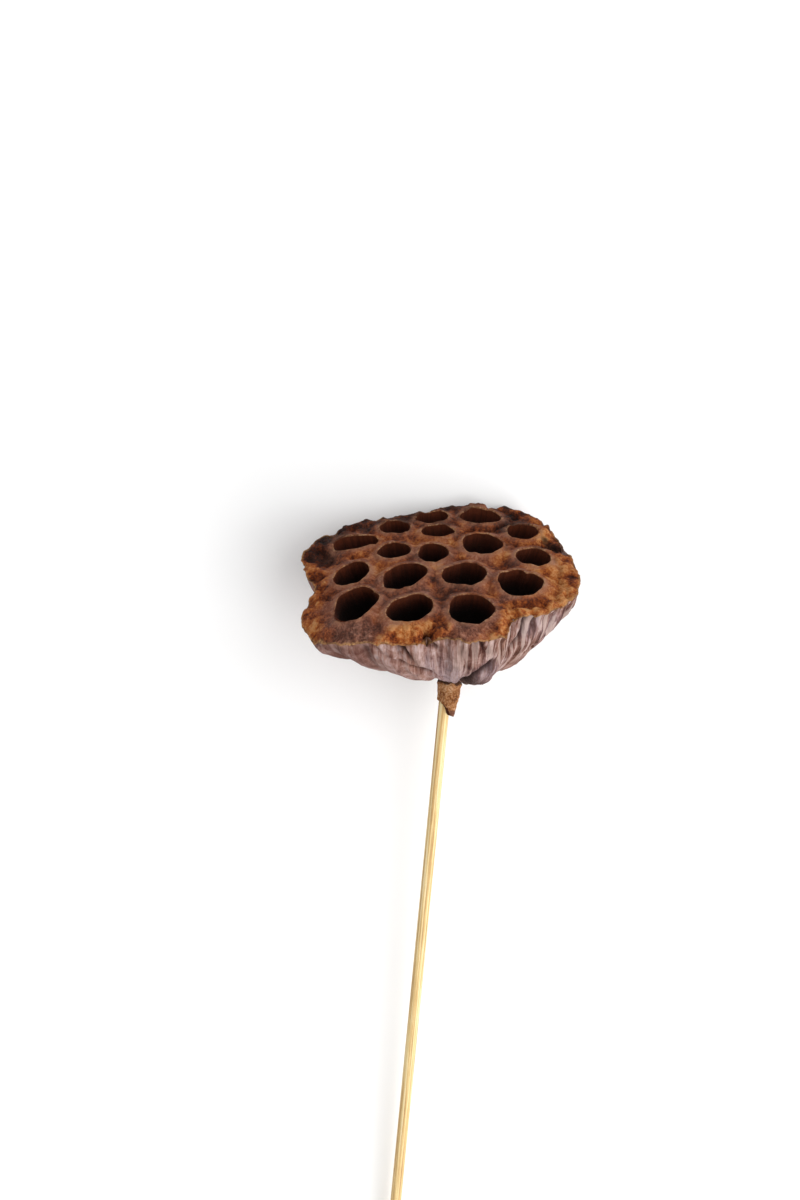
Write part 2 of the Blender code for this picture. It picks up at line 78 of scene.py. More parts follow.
# %% The rim and its tears
MM = 0.001
FACE_LEAN = 56.0
FACE_AT = (-0.15, 143.37, 38.15)
RIM = (
    (0, 49.9, 0.0), (15, 48.8, 0.5), (30, 49.2, 1.0), (45, 51.0, 0.5), (56, 51.8, 0.0),
    (72, 46.8, 1.0), (85, 43.8, 1.0), (98, 40.2, 0.0), (112, 40.8, 0.0), (127, 44.5, 0.5),
    (142, 45.8, 1.0), (155, 49.5, 1.0), (170, 51.2, 0.0), (183, 47.6, -1.0), (193, 46.8, -2.0),
    (204, 54.6, -6.0), (216, 55.0, -8.0), (226, 53.0, -5.0), (240, 46.8, -3.0),
    (257, 42.6, -2.5), (272, 40.6, -1.5), (290, 43.4, -2.0), (300, 44.5, -1.0),
    (310, 41.4, 1.0), (325, 45.6, 0.0), (342, 50.3, -0.5),
)
# Notches torn in the rim: bearing, depth and half width in degrees.
NOTCHES = (
    (65, 4.8, 2.3), (192, 0.9, 3.0), (123, 1.6, 2.4), (263, 1.6, 2.4), (148, 1.2, 2.2),
    (318, 1.0, 2.4),
)
RAG_HEIGHT = 0.55
RAG_LENGTH = 8.0
USUAL_RADIUS = 45.0

# %% The seed cells and the face
# Each cell: where its mouth lies, its half length and half width, and its turn.
CELLS = (
    (-31.1, 15.6, 8.4, 4.6, 14), (-16.3, 25.9, 5.7, 5.0, 5), (-2.5, 33.0, 6.1, 4.0, 8),
    (15.2, 33.5, 7.6, 5.4, -3), (-0.4, 22.6, 6.2, 4.6, 3), (30.4, 22.9, 5.7, 5.2, -8),
    (-16.7, 8.6, 6.2, 5.2, 20), (-2.5, 6.6, 6.5, 5.5, 80), (15.4, 13.2, 7.4, 7.2, 10),
    (34.0, 5.9, 6.4, 5.8, -5), (-31.9, -4.9, 7.6, 5.5, 50), (-13.0, -8.2, 9.2, 6.5, 46),
    (8.7, -7.3, 8.3, 6.8, 20), (28.5, -11.2, 8.2, 7.9, 10), (-30.2, -22.4, 9.4, 7.0, 55),
    (-10.9, -26.9, 8.8, 6.4, 30), (10.6, -27.3, 8.1, 7.8, 10),
)
CELL_DEPTH = 15.0
SHALLOWER_AT_RIM = 0.3
CELL_LEAN_IN = 0.14
MOUTH_WOBBLE = 0.035
CROWN = 3.2
LIP_HEIGHT = 0.7
CRUST_WIDTH = 7.0
CRUST_HEIGHT = 0.8
CRUST_LENGTH = 8.0
CRUST_LUMPS = 1.3
# Hollows where no seed grew: place, radius and depth.
HOLLOWS = (
    (-42.0, 10.0, 4.6, 2.6), (41.0, 16.5, 3.6, 2.2), (-4.5, -36.6, 2.4, 1.8),
    (23.5, -1.2, 2.6, 0.9), (-22.0, -14.5, 3.0, 0.8), (0.0, -17.0, 3.4, 0.9),
)

# %% The flank
BOWL_DEPTH = 38.5
SEAT_RADIUS = 5.6
STALK_AT = (4.25, -4.5)
UNDERCUT = 1.1
UNDERCUT_REACH = 0.035
# How the flank runs in from the rim: bearing and power. 1 is a round bowl, 3 a flared lip.
FULLNESS = (
    (0, 2.8), (30, 2.0), (45, 2.0), (60, 2.9), (75, 3.0), (90, 1.7), (105, 0.95), (120, 1.1),
    (135, 1.4), (155, 2.2), (180, 2.7), (205, 3.3), (220, 3.4), (235, 2.0), (250, 1.6),
    (265, 1.5), (280, 1.35), (295, 1.2), (310, 1.2), (325, 1.5), (340, 2.5),
)
# Two layers of fine ribs: height and spacing.
RIBS = ((0.8, 9.0), (0.6, 4.6))
RIB_FADE = 0.7
RIB_DRIFT = 12.0
UNDERSIDE = (90, 30)
# Creases and ridges of the flank: a path of share of the way down and bearing, then the depth
# and the half width. A depth below 0 is a ridge.
CREASES = (
    (((0.0, 261), (0.04, 265), (0.1, 269), (0.24, 268), (0.38, 269)), 1.7, 1.7),
    (((0.02, 276), (0.24, 277), (0.45, 278)), -0.9, 3.4),
    (((0.0, 286), (0.22, 283), (0.5, 281)), 1.2, 1.5),
    (((0.17, 298), (0.24, 296), (0.32, 292), (0.44, 287), (0.6, 284)), 3.8, 1.9),
    (((0.0, 317), (0.06, 316), (0.15, 316), (0.32, 311)), 2.2, 1.5),
    (((0.0, 250), (0.06, 251), (0.1, 253), (0.24, 256)), 1.8, 1.4),
    (((0.13, 243), (0.18, 248), (0.23, 254), (0.33, 261), (0.42, 268)), 2.2, 1.5),
    (((0.4, 232), (1.0, 222)), 2.8, 1.6),
    (((0.6, 322), (1.0, 318)), 4.0, 2.2),
    (((0.45, 196), (1.0, 205)), 2.4, 2.4),
    (((0.5, 350), (1.0, 346)), 1.8, 2.2),
    (((0.35, 20), (1.0, 14)), 2.8, 2.4),
    (((0.25, 60), (1.0, 48)), 2.4, 2.2),
    (((0.5, 88), (1.0, 84)), 2.0, 2.2),
    (((0.5, 108), (1.0, 112)), 2.8, 2.4),
    (((0.35, 144), (1.0, 150)), 2.6, 2.4),
    (((0.45, 170), (1.0, 180)), 1.8, 2.2),
)
# How a crease starts and ends: it fades over this share of its length, a little past each end.
CREASE_FADE = 0.35
CREASE_PAST_END = 0.02
# Slits that run down from the rim: bearing, depth, half width and length as a share of the flank.
SLITS = (
    (330, 1.3, 1.4, 0.26), (341, 1.1, 1.3, 0.24), (300, 0.9, 1.5, 0.25), (236, 1.0, 1.4, 0.28),
    (224, 0.9, 1.4, 0.28), (353, 1.0, 1.4, 0.28), (36, 1.4, 1.8, 0.36), (96, 1.5, 1.8, 0.3),
    (133, 1.3, 1.8, 0.34), (172, 1.4, 1.8, 0.3),
)

# %% The stalk and the reed
STALK_LENGTH = 12.0
STALK_END_RADIUS = 3.95
# The stalk's radius at shares of its length.
STALK_ROWS = (
    (0.0, 4.9), (0.07, 4.5), (0.16, 4.15), (0.3, 4.4), (0.48, 4.5), (0.66, 4.35), (0.84, 4.2),
    (1.0, 3.95),
)
STALK_KNOBS = 0.2
TORN_EDGE = 0.35
TORN_THICKNESS = 0.4
# Tongues of the torn end: length, bearing and half width in degrees.
TORN_TONGUES = ((4.2, -50, 22), (3.2, -84, 46), (0.9, 180, 20))
SOCKET_OFFSET = 1.15
SOCKET_GAP = 0.3
SOCKET_INSIDE = 6.0
REED_RADIUS = 2.1
REED_FREE_LENGTH = 280.0
REED_SIDE_LEAN = -0.096
REED_TAPER = 0.94
REED_OVAL = 0.05
REED_OVAL_WAVES = 12
REED_FLAT = 0.35
print("cells:", len(CELLS), " rim rows:", len(RIM))

# %% [markdown]
# ## Shaping rules
#
# A grown thing has no straight edges, so every outline below is a smooth curve through a few
# measured points, plus a little seeded roughness. Seeding matters: the same numbers come out on
# every run, so the pod never changes between two renders.

# %% Curves and seeded roughness
def smooth_step(low, high, value):
    share = np.clip((value - low) / (high - low), 0.0, 1.0)
    return share * share * (3.0 - 2.0 * share)


def bump_shape(value, middle, half_width):
    """1 at the middle, falling smoothly to 0 on both sides."""
    return np.exp(-(((value - middle) / half_width) ** 2))


def ripples(points, length, seed, waves=24):
    """A smooth random field of about -1 to 1, whose bumps are about half of length across."""
    draw = np.random.default_rng(seed)
    heading = draw.normal(size=(waves, points.shape[1]))
    heading /= np.linalg.norm(heading, axis=1)[:, None]
    pace = 2.0 * math.pi / length * draw.uniform(0.7, 1.3, waves)
    start = draw.uniform(0.0, 2.0 * math.pi, waves)
    field = np.cos(points @ (heading * pace[:, None]).T + start).sum(axis=1)
    return field / math.sqrt(2.0 * waves)


def crumble(points, length, octaves=4, shift=0.0):
    """Rough fractal noise of about -1 to 1, with lumps of the given length and finer ones in them."""
    places = (points / length + shift).tolist()
    return np.array([noise.fractal(place, 1.0, 2.0, octaves) for place in places])


def pits(points, spacing, shift=0.0):
    """1 at the middle of scattered pits and 0 between them."""
    places = (points / spacing + shift).tolist()
    nearest = np.array([noise.voronoi(place)[0][0] for place in places])
    return 1.0 - smooth_step(0.12, 0.42, nearest)


# %% Bearings, circles and grooves
def even_bearings(count):
    return np.arange(count) * (2.0 * math.pi / count)


def on_circle(bearing, radius=USUAL_RADIUS):
    return np.stack([np.cos(bearing), np.sin(bearing)], axis=1) * radius


def wrapped(bearing, down, radius=USUAL_RADIUS):
    """A place for grain or noise: on a circle by its bearing, and some way down from it."""
    return np.column_stack([on_circle(bearing, radius), np.broadcast_to(down, len(bearing))])


def polar(points):
    """The bearing and the distance of each point from the middle."""
    return np.arctan2(points[:, 1], points[:, 0]), np.hypot(points[:, 0], points[:, 1])


def across_groove(bearing, radius, middle_degrees, half_width):
    """1 on a bearing, falling to 0 on both sides. The half width is a length at a radius."""
    gap = np.abs((bearing - math.radians(middle_degrees) + math.pi) % (2.0 * math.pi) - math.pi)
    return bump_shape(gap * radius, 0.0, half_width)


def groove(bearing, middle_degrees, half_width_degrees):
    """The same, with its half width in degrees."""
    return across_groove(bearing, 1.0, middle_degrees, math.radians(half_width_degrees))


def round_the_rim(bearing, table, column):
    """A column of a table by bearing, on a smooth closed curve through its points."""
    table = np.array(table)
    turn = 360.0
    at = np.concatenate([table[-2:, 0] - turn, table[:, 0], table[:3, 0] + turn])
    value = np.concatenate([table[-2:, column], table[:, column], table[:3, column]])
    slope = np.gradient(value, at)
    where = np.degrees(bearing) % turn
    low = np.searchsorted(at, where, side="right") - 1
    span = at[low + 1] - at[low]
    share = (where - at[low]) / span
    rise = value[low + 1] - value[low]
    cubic = share * share * (3.0 - 2.0 * share)
    leave = share * (1.0 - share) ** 2 * span * slope[low]
    arrive = share * share * (share - 1.0) * span * slope[low + 1]
    return value[low] + rise * cubic + leave + arrive


# %% [markdown]
# ## The rim and the mouths
#
# The rim of a dry pod is torn like bread crust. A coarse curve gives the outline, and two finer
# layers of roughness tear it. Each mouth is an oval that wobbles a little, with a thin raised
# lip, because the seed swelled and pushed the skin up before it dropped out.

# %% The torn rim
# Two finer layers of tearing: height, spacing and seed.
FINE_RAG = ((0.34, 3.4, 61), (0.13, 1.4, 62))


def rim_radius(bearing, fine=True):
    radius = round_the_rim(bearing, RIM, 1)
    radius = radius + RAG_HEIGHT * ripples(on_circle(bearing), RAG_LENGTH, 11)
    for middle, depth, half_width in NOTCHES:
        radius = radius - depth * groove(bearing, middle, half_width)
    for height, length, seed in FINE_RAG if fine else ():
        radius = radius + height * ripples(on_circle(bearing), length, seed, waves=60)
    return radius


def rim_height(bearing):
    rag = 0.5 * RAG_HEIGHT * ripples(on_circle(bearing), RAG_LENGTH, 12)
    return round_the_rim(bearing, RIM, 2) + rag


def inside_rim(points):
    """How far each point of the face lies inside the rim."""
    bearing, reach = polar(points)
    return rim_radius(bearing) - reach


# %% The mouths of the cells
# Flakes of husk that hang in from a mouth's edge: cell, bearing, reach and half width.
FLAKES = (
    (13, 68, 1.5, 11), (7, 60, 0.5, 16), (11, 150, 0.4, 9), (14, 40, 0.5, 10), (3, 255, 0.5, 8),
)
# Waves worn into a mouth's edge: how many go round it, how they start, and their height.
WEAR = ((11.0, 3.0, 0.006), (23.0, 1.0, 0.004))


def mouth_radius(cell, bearing):
    """The mouth's edge, as a distance from the cell's middle at each bearing."""
    _, _, length, width, turn = CELLS[cell]
    local = bearing - math.radians(turn)
    oval = length * width / np.sqrt((width * np.cos(local)) ** 2 + (length * np.sin(local)) ** 2)
    phase = 2.4 * cell
    wobble = np.cos(3.0 * local + phase) + 0.7 * np.cos(5.0 * local + 2.0 * phase)
    wear = sum(height * np.cos(waves * local + start * phase) for waves, start, height in WEAR)
    radius = oval * (1.0 + MOUTH_WOBBLE * wobble + wear)
    for holder, middle, inward, half_width in FLAKES:
        if holder == cell:
            radius = radius - inward * groove(bearing, middle, half_width)
    return radius


def mouth_points(cell, count, offset=0.0):
    """Points of a mouth's edge, closer together at the ends of its oval."""
    x, y, length, width, turn = CELLS[cell]
    step = even_bearings(count)
    bearing = np.arctan2(width * np.sin(step), length * np.cos(step)) + math.radians(turn)
    return on_circle(bearing, 1.0) * (mouth_radius(cell, bearing) + offset)[:, None] + (x, y)


# %% Distances on the face
def nearest_mouth(points, but=None):
    """How far each point of the face lies outside the nearest mouth, but for one cell's."""
    gaps = []
    for cell, (x, y, *_) in enumerate(CELLS):
        if cell != but:
            bearing, reach = polar(points - (x, y))
            gaps.append(reach - mouth_radius(cell, bearing))
    return np.min(gaps, axis=0)


# Grain for wrinkles that run out from a mouth: how much of it runs round the mouth, how little
# away from it, and how far apart two mouths' grains are.
GRAIN_ROUND = 9.0
GRAIN_AWAY = 0.3
GRAIN_APART = 30.0


def round_mouths(points):
    """The grain of each point's nearest mouth."""
    middles = np.array(CELLS)[:, :2]
    away = points[:, None, :] - middles[None, :, :]
    far = np.hypot(away[:, :, 0], away[:, :, 1])
    nearest = far.argmin(axis=1)
    rows = np.arange(len(points))
    reach = far[rows, nearest]
    heading = away[rows, nearest] / reach[:, None]
    place = heading * GRAIN_ROUND + nearest[:, None] * GRAIN_APART
    return np.column_stack([place, GRAIN_AWAY * reach])


def near_spots(points, spots):
    """The sum of soft round spots, whose rows are a place, a radius and a strength."""
    amount = np.zeros(len(points))
    for x, y, radius, strength in spots:
        amount += strength * bump_shape(polar(points - (x, y))[1], 0.0, radius)
    return amount


# %% The margin and its cracks
# Where the margin stayed smooth, as near_spots reads it. Crumbs reach further in below 0.
CALM_SPOTS = (
    (-31.0, -36.0, 8.0, 1.0), (-22.0, -33.0, 4.0, 0.7), (11.0, -37.0, 6.5, 1.0),
    (-40.0, -22.0, 5.0, 0.6), (-8.0, -36.5, 5.0, -0.8), (38.0, 16.0, 6.0, -0.6),
    (38.0, -4.0, 5.0, -0.6), (30.0, -26.0, 8.0, -0.6),
)


def crust_share(points):
    """1 on the crumbly margin inside the rim, fading to 0 on the leathery middle."""
    inset = inside_rim(points) + 2.2 * ripples(points, 13.0, 63)
    crust = 1.0 - smooth_step(0.45 * CRUST_WIDTH, 1.35 * CRUST_WIDTH, inset)
    return np.clip(crust - near_spots(points, CALM_SPOTS), 0.0, 1.0)


def along_path(points, path):
    """How far each point lies from a bent line."""
    gaps = []
    for start, end in zip(path, path[1:]):
        run = np.subtract(end, start)
        share = np.clip(((points - start) @ run) / (run @ run), 0.0, 1.0)
        gaps.append(np.linalg.norm(points - start - share[:, None] * run, axis=1))
    return np.min(gaps, axis=0)


# Cracks and folds in the face: a bent line, its depth and its half width.
FACE_CREASES = (
    (((17.5, 22.6), (20.5, 26.0), (23.7, 28.1), (27.0, 28.6)), 1.5, 0.8),
    (((41.4, 5.5), (43.6, 1.2), (42.4, -5.0), (43.2, -10.2), (42.0, -13.6), (40.6, -18.5)), 0.9, 1.4),
    (((42.6, -5.5), (45.6, -10.0), (45.2, -16.0)), 0.9, 0.8),
    (((38.5, 19.5), (42.5, 15.0), (46.5, 14.0)), 1.8, 1.6),
    (((-5.2, -36.2), (-4.9, -38.8)), 3.0, 1.1),
    (((36.5, -22.0), (33.0, -26.5), (34.0, -31.5)), 1.0, 0.8),
    (((22.0, 19.0), (24.5, 16.0), (23.8, 11.0)), 1.1, 0.9),
    (((-43.5, 14.0), (-39.0, 10.0), (-41.0, 4.0)), 1.3, 1.0),
    (((-22.0, 19.0), (-24.5, 11.0), (-23.0, 3.5)), 0.9, 0.9),
    (((3.5, 27.5), (6.5, 22.0), (6.0, 16.0)), 0.9, 0.9),
    (((-38.0, 23.0), (-34.5, 25.0), (-29.0, 30.0)), 1.0, 1.0),
    (((-45.0, -16.0), (-41.5, -14.0), (-39.0, -17.5)), 1.0, 0.9),
    (((24.0, -33.0), (21.5, -37.0), (24.0, -40.0)), 0.9, 0.8),
)
# A crack starts to get painted shade at the first depth, and is fully shaded when it is deeper by the
# second.
SHADE_FROM = 0.6
SHADE_BY = 0.9


def cracks(points):
    """How deep the face is cracked at each point, and how much painted shade it gets: 1 in a crack, 2 in
    the pit.
    """
    deep = np.zeros(len(points))
    painted_shade = np.zeros(len(points))
    for path, depth, half_width in FACE_CREASES:
        near = bump_shape(along_path(points, path), 0.0, half_width)
        deep += depth * near
        painted_shade = np.maximum(painted_shade, min(max(depth - SHADE_FROM, 0.0) / SHADE_BY, 2.0) * near)
    return deep, painted_shade


# %% [markdown]
# ## The height of the face
#
# A dry face is not flat. It is crowned, sinks between the cells, stands up as a soft collar and
# a thin lip round each mouth, and swells into a crumbly crust at the rim. Each of these is one
# term of a sum, so that each can be changed alone.

# %% The height of the face
SCALLOP_HEIGHT = 0.4
SCALLOP_LENGTH = 3.0
SCALLOP_REACH = 1.0
COLLAR_HEIGHT = 0.9
COLLAR_AT = 0.9
COLLAR_WIDTH = 2.6
VALLEY_DEPTH = 0.75


def face_height(points):
    """Height of the skin over each point of the face, before its fine relief."""
    bearing, reach = polar(points)
    edge = rim_radius(bearing, fine=False)
    reach = reach / edge
    height = CROWN * (1.0 - reach**2) + rim_height(bearing) * reach**5
    uneven = 1.0 + 0.35 * ripples(points, 5.0, 64)
    beside = nearest_mouth(points)
    height += 0.75 * LIP_HEIGHT * uneven * bump_shape(beside, 0.35, 0.55)
    height += COLLAR_HEIGHT * (0.8 + 0.2 * uneven) * bump_shape(beside, COLLAR_AT, COLLAR_WIDTH)
    height -= VALLEY_DEPTH * smooth_step(2.0, 5.0, beside) * (1.0 + 0.6 * ripples(points, 7.0, 65))
    height -= cracks(points)[0] + near_spots(points, HOLLOWS)
    in_from_rim = edge * (1.0 - reach)
    crust = bump_shape(in_from_rim, 0.5 * CRUST_WIDTH, 0.5 * CRUST_WIDTH)
    height += CRUST_HEIGHT * crust * (1.0 + CRUST_LUMPS * ripples(points, CRUST_LENGTH, 21))
    scallops = ripples(on_circle(bearing), SCALLOP_LENGTH, 66, waves=60)
    return height + SCALLOP_HEIGHT * scallops * np.exp(-in_from_rim / SCALLOP_REACH)


# %% [markdown]
# ## The flank
#
# Below the rim the pod narrows to its stalk like a funnel. As it dried it shrank over its ribs:
# long creases run up from the stalk, short slits and pleats run down from the rim, and fine
# upright ribs cover the rest. Each row of the flank is one ring of points, pushed in where a
# fold is.

# %% Finer creases and pleats
# Rows like those of CREASES.
FINE_CREASES = (
    (((0.0, 261), (0.04, 265), (0.1, 268)), 0.9, 0.6),
    (((0.08, 276), (0.3, 277), (0.52, 277)), -1.0, 3.0),
    (((0.26, 257), (0.34, 262), (0.42, 268), (0.58, 273)), 1.8, 1.1),
    (((0.34, 291), (0.48, 286), (0.62, 284), (0.9, 283)), 2.2, 1.2),
    (((0.5, 262), (0.65, 256), (0.8, 248), (0.97, 242)), 1.7, 1.1),
    (((0.0, 317), (0.15, 316), (0.3, 311)), 0.7, 0.6), (((0.0, 250), (0.1, 253), (0.2, 256)), 0.9, 0.7),
    (((0.0, 288), (0.08, 291), (0.15, 293)), 1.2, 0.9), (((0.0, 272), (0.1, 273), (0.2, 273)), 0.6, 0.8),
    (((0.0, 280), (0.1, 280), (0.22, 279)), 0.6, 0.8), (((0.0, 247), (0.1, 249), (0.2, 252)), 0.7, 0.8),
    (((0.0, 237), (0.06, 240), (0.2, 246)), 0.9, 1.2), (((0.0, 216), (0.12, 219), (0.3, 226)), 0.9, 0.9),
    (((0.0, 322), (0.1, 321), (0.25, 318)), 0.9, 0.8), (((0.1, 336), (0.2, 331), (0.36, 318)), 1.0, 0.8),
    (((0.0, 348), (0.12, 346), (0.24, 343)), 0.8, 0.8), (((0.0, 60), (0.15, 57), (0.3, 58)), 1.0, 0.9),
    (((0.0, 72), (0.15, 70), (0.34, 74)), 1.1, 1.0), (((0.0, 118), (0.15, 116), (0.32, 112)), 1.0, 0.9),
    (((0.0, 158), (0.15, 160), (0.35, 157)), 1.0, 1.0), (((0.0, 188), (0.12, 187), (0.3, 184)), 1.0, 0.9),
)


def draw_pleats():
    """Fine folds down from the rim, closest at the front right. Rows like those of SLITS."""
    draw = np.random.default_rng(17)
    pleats = []
    bearing = 0.0
    while bearing < 360.0:
        strong = 0.3 + 0.7 * groove(np.radians(bearing), 330, 45)
        deep = 1.6 * strong * draw.uniform(0.3, 1.0)
        pleats.append((bearing, deep, draw.uniform(0.35, 0.6), draw.uniform(0.1, 0.3)))
        bearing += draw.uniform(2.0, 4.5) / (0.5 + 0.5 * strong)
    return pleats


PLEATS = draw_pleats()
print("pleats:", len(PLEATS))

# %% Rows of the flank
# How far down the torn edge of the rim still shows, as a share of the flank.
RAG_REACH = 0.02


def crease_bearing(path, share):
    """The bearing of a crease at a share of the way down, and how much of it is there."""
    shares, bearings = zip(*path)
    start, end = shares[0], shares[-1]
    fade = CREASE_FADE * (end - start)
    present = 1.0
    if start > 0.0:
        present *= smooth_step(start - CREASE_PAST_END, start + fade, share)
    if end < 1.0:
        present *= 1.0 - smooth_step(end - fade, end + CREASE_PAST_END, share)
    return np.interp(share, shares, bearings), present


def run_down(bearing, ring, share, rows, starts, holds):
    """How deep the slits or pleats cut: full depth from one share, and down to a part of each."""
    inward = np.zeros(len(bearing))
    for middle, deep, half_width, length in rows:
        along = smooth_step(0.0, starts, share) * (1.0 - smooth_step(holds * length, length, share))
        inward += deep * along * across_groove(bearing, ring, middle, half_width)
    return inward


def folds(bearing, ring, share):
    """How deep the creases, slits and pleats cut the flank at a share of the way down."""
    inward = run_down(bearing, ring, share, SLITS, 0.06, 0.5)
    for path, deep, half_width in CREASES + FINE_CREASES:
        middle, present = crease_bearing(path, share)
        inward += deep * present * across_groove(bearing, ring, middle, half_width)
    return inward + run_down(bearing, ring, share, PLEATS, 0.02, 0.4)


def bowl_row(bearing, share):
    """One row of the bare bowl at a share of the way down: its points and its radii."""
    angle = 0.5 * math.pi * share
    depth = math.sin(angle)
    edge = rim_radius(bearing, fine=False)
    narrowed = max(math.cos(angle), 0.0) ** round_the_rim(bearing, FULLNESS, 1)
    ring = SEAT_RADIUS + (edge - SEAT_RADIUS) * narrowed
    ring = ring + (rim_radius(bearing) - edge) * math.exp(-share / RAG_REACH)
    flat = on_circle(bearing, 1.0) * ring[:, None] + np.multiply(STALK_AT, depth**3)
    return np.column_stack([flat, rim_height(bearing) * (1.0 - depth) - BOWL_DEPTH * depth]), ring


def flank_row(bearing, share):
    """Points of the flank at a share of the way down, and how deep its folds are there."""
    points, ring = bowl_row(bearing, share)
    fold = folds(bearing, ring, share)
    inward = fold + UNDERCUT * (1.0 - math.exp(-share / UNDERCUT_REACH)) * (1.0 - share) ** 3
    fade = smooth_step(0.0, 0.1, share) * (1.0 - RIB_FADE * share)
    fade = fade * (1.0 - RIB_FADE * groove(bearing, *UNDERSIDE))
    for seed, (height, length) in enumerate(RIBS):
        rib = height * ripples(wrapped(bearing, RIB_DRIFT * share), length, 31 + seed)
        inward = inward + fade * rib
        # The ribs add to the fold mask, and so to the flank's painted shade and highlight.
        fold = fold + 0.8 * rib
    outward = points / np.linalg.norm(points, axis=1)[:, None]
    return points - outward * inward[:, None], fold


# %% [markdown]
# ## Laying it down
#
# One matrix carries the pod from its own frame to where it lies. The reed's heading follows from
# it: the reed leaves the stalk and just reaches the surface at its far end.

# %% Where the pod lies and how the reed runs
def lay_down():
    return Matrix.Translation(FACE_AT) @ Matrix.Rotation(math.radians(-FACE_LEAN), 4, "X")


def stalk_root():
    return Vector((STALK_AT[0], STALK_AT[1], -BOWL_DEPTH))


def reed_heading():
    drop = (lay_down() @ stalk_root()).z - REED_RADIUS * REED_TAPER + REED_FLAT
    return Vector((REED_SIDE_LEAN, -1.0, -drop / REED_FREE_LENGTH)).normalized()


def sideways(along):
    across = Vector((1, 0, 0))
    return (across - across.dot(along) * along).normalized()


def stalk_axes():
    along = lay_down().to_3x3().inverted() @ reed_heading()
    across = sideways(along)
    return along, across, across.cross(along)


print("reed heading:", tuple(round(part, 3) for part in reed_heading()))

# %% [markdown]
# ## Building a skin
#
# The pod is one closed skin. It is gathered patch by patch: each patch adds its points together
# with a few masks, such as how deep in a cell a point is. The masks are saved on the mesh, and
# the material reads them later, so the paint always follows the shape.

# %% A gatherer for points, masks and faces
# Where a point is: on the face, the flank, the stalk, in a cell, or near an edge.
PLACES = ("face", "beside", "lip", "rimside", "crest", "flank", "cell", "stalk", "seat", "torn")
# How the skin looks there, with the painted highlight of the torn rim and the painted shade of cracks and
# folds.
LOOKS = ("crust", "halo", "warm", "sunny", "crack", "fold", "pleated", "lilac")


def new_skin(masks):
    lists = {mask: [] for mask in masks}
    return {"points": [], "faces": [], "grain": [], "count": 0, "masks": lists}


def add_points(skin, points, grain, **masks):
    """Adds points with their masks and the grain's coordinates; gives back their numbers."""
    points = np.asarray(points, dtype=float)
    count = len(points)
    skin["points"].append(points)
    skin["grain"].append(np.broadcast_to(grain, (count, 3)))
    for mask, values in skin["masks"].items():
        values.append(np.broadcast_to(masks.get(mask, 0.0), (count,)))
    first = skin["count"]
    skin["count"] += count
    return np.arange(first, first + count)


def join_rings(skin, upper, lower):
    """Faces between two closed rings; the lower may have half as many points as the upper."""
    if len(upper) == len(lower):
        quads = np.column_stack([upper, np.roll(upper, -1), np.roll(lower, -1), lower])
        skin["faces"] += quads.tolist()
        return
    even, odd, after = upper[::2], upper[1::2], np.roll(upper[::2], -1)
    lower_after = np.roll(lower, -1)
    skin["faces"] += np.column_stack([even, odd, lower]).tolist()
    skin["faces"] += np.column_stack([odd, lower_after, lower]).tolist()
    skin["faces"] += np.column_stack([odd, after, lower_after]).tolist()


def next_ring(skin, ring, points, grain, **masks):
    """Adds one more ring of points below the last one, and the faces between the two."""
    below = add_points(skin, points, grain, **masks)
    join_rings(skin, ring, below)
    return below


def close_ring(skin, ring, middle, **masks):
    """A fan of faces from a ring to a new point in its middle."""
    last = add_points(skin, [middle], (0.0, 0.0, 0.0), **masks)[0]
    fan = np.column_stack([ring, np.roll(ring, -1), np.full(len(ring), last)])
    skin["faces"] += fan.tolist()


# %% [markdown]
# ## The face
#
# The face has seventeen holes and a torn edge, which no grid fits. A constrained triangulation
# does: it is given the outlines of the rim and the mouths, plus points in between, and fills
# them with well-shaped triangles. Rings of points close to each mouth keep the lips crisp.

# %% Colour masks of the face
# Spots of warm orange cork on the face: place, radius and strength. Cool ones are below 0;
# those towards the back, and the strong small ones in the hollow at the right rim and in the pit,
# are painted shade.
WARM_AND_SHADE_SPOTS = (
    (-10.0, -38.0, 6.5, 0.6), (-20.0, -36.0, 5.5, 0.5), (2.0, -38.0, 4.5, -0.4),
    (40.0, 2.0, 8.0, 0.6), (42.0, -12.0, 9.0, 0.6), (36.0, 22.0, 5.0, 0.7),
    (30.0, 33.0, 8.0, -0.2), (22.0, 9.0, 4.0, 0.6), (23.0, 18.0, 4.0, 0.4),
    (0.0, 13.0, 6.0, 0.45), (-8.0, 20.0, 5.0, 0.4), (7.0, 27.0, 5.0, 0.3),
    (-22.0, 20.0, 6.0, 0.3), (20.0, -40.0, 7.0, 0.3), (38.0, -14.0, 6.0, 0.3),
    (30.0, -26.0, 7.0, 0.5), (-48.0, 2.0, 6.0, 0.1), (-46.0, -28.0, 5.0, 0.45),
    (-24.0, 4.0, 6.0, 0.35), (2.0, 2.0, 5.0, 0.3), (-22.0, -28.0, 4.0, 0.3),
    (41.5, 14.5, 4.0, -1.3), (-4.9, -38.5, 1.5, -2.2), (-31.0, -35.0, 8.5, -0.75),
    (-20.0, -20.0, 6.0, -0.4), (1.0, -19.0, 5.0, -0.6), (11.0, -37.0, 6.0, -0.5),
    (-25.0, 33.0, 9.0, -0.5), (-47.0, 17.0, 9.0, -0.55), (-40.0, 24.0, 9.0, -0.5),
    (-10.0, 39.0, 9.0, -0.7), (10.0, 43.0, 9.0, -0.45), (-41.0, 9.0, 5.0, -0.5),
    (23.0, -22.0, 5.0, -0.3), (24.0, 25.0, 3.5, -0.6), (34.0, -21.0, 4.0, -0.4),
    (46.0, 6.0, 3.0, -0.4),
)


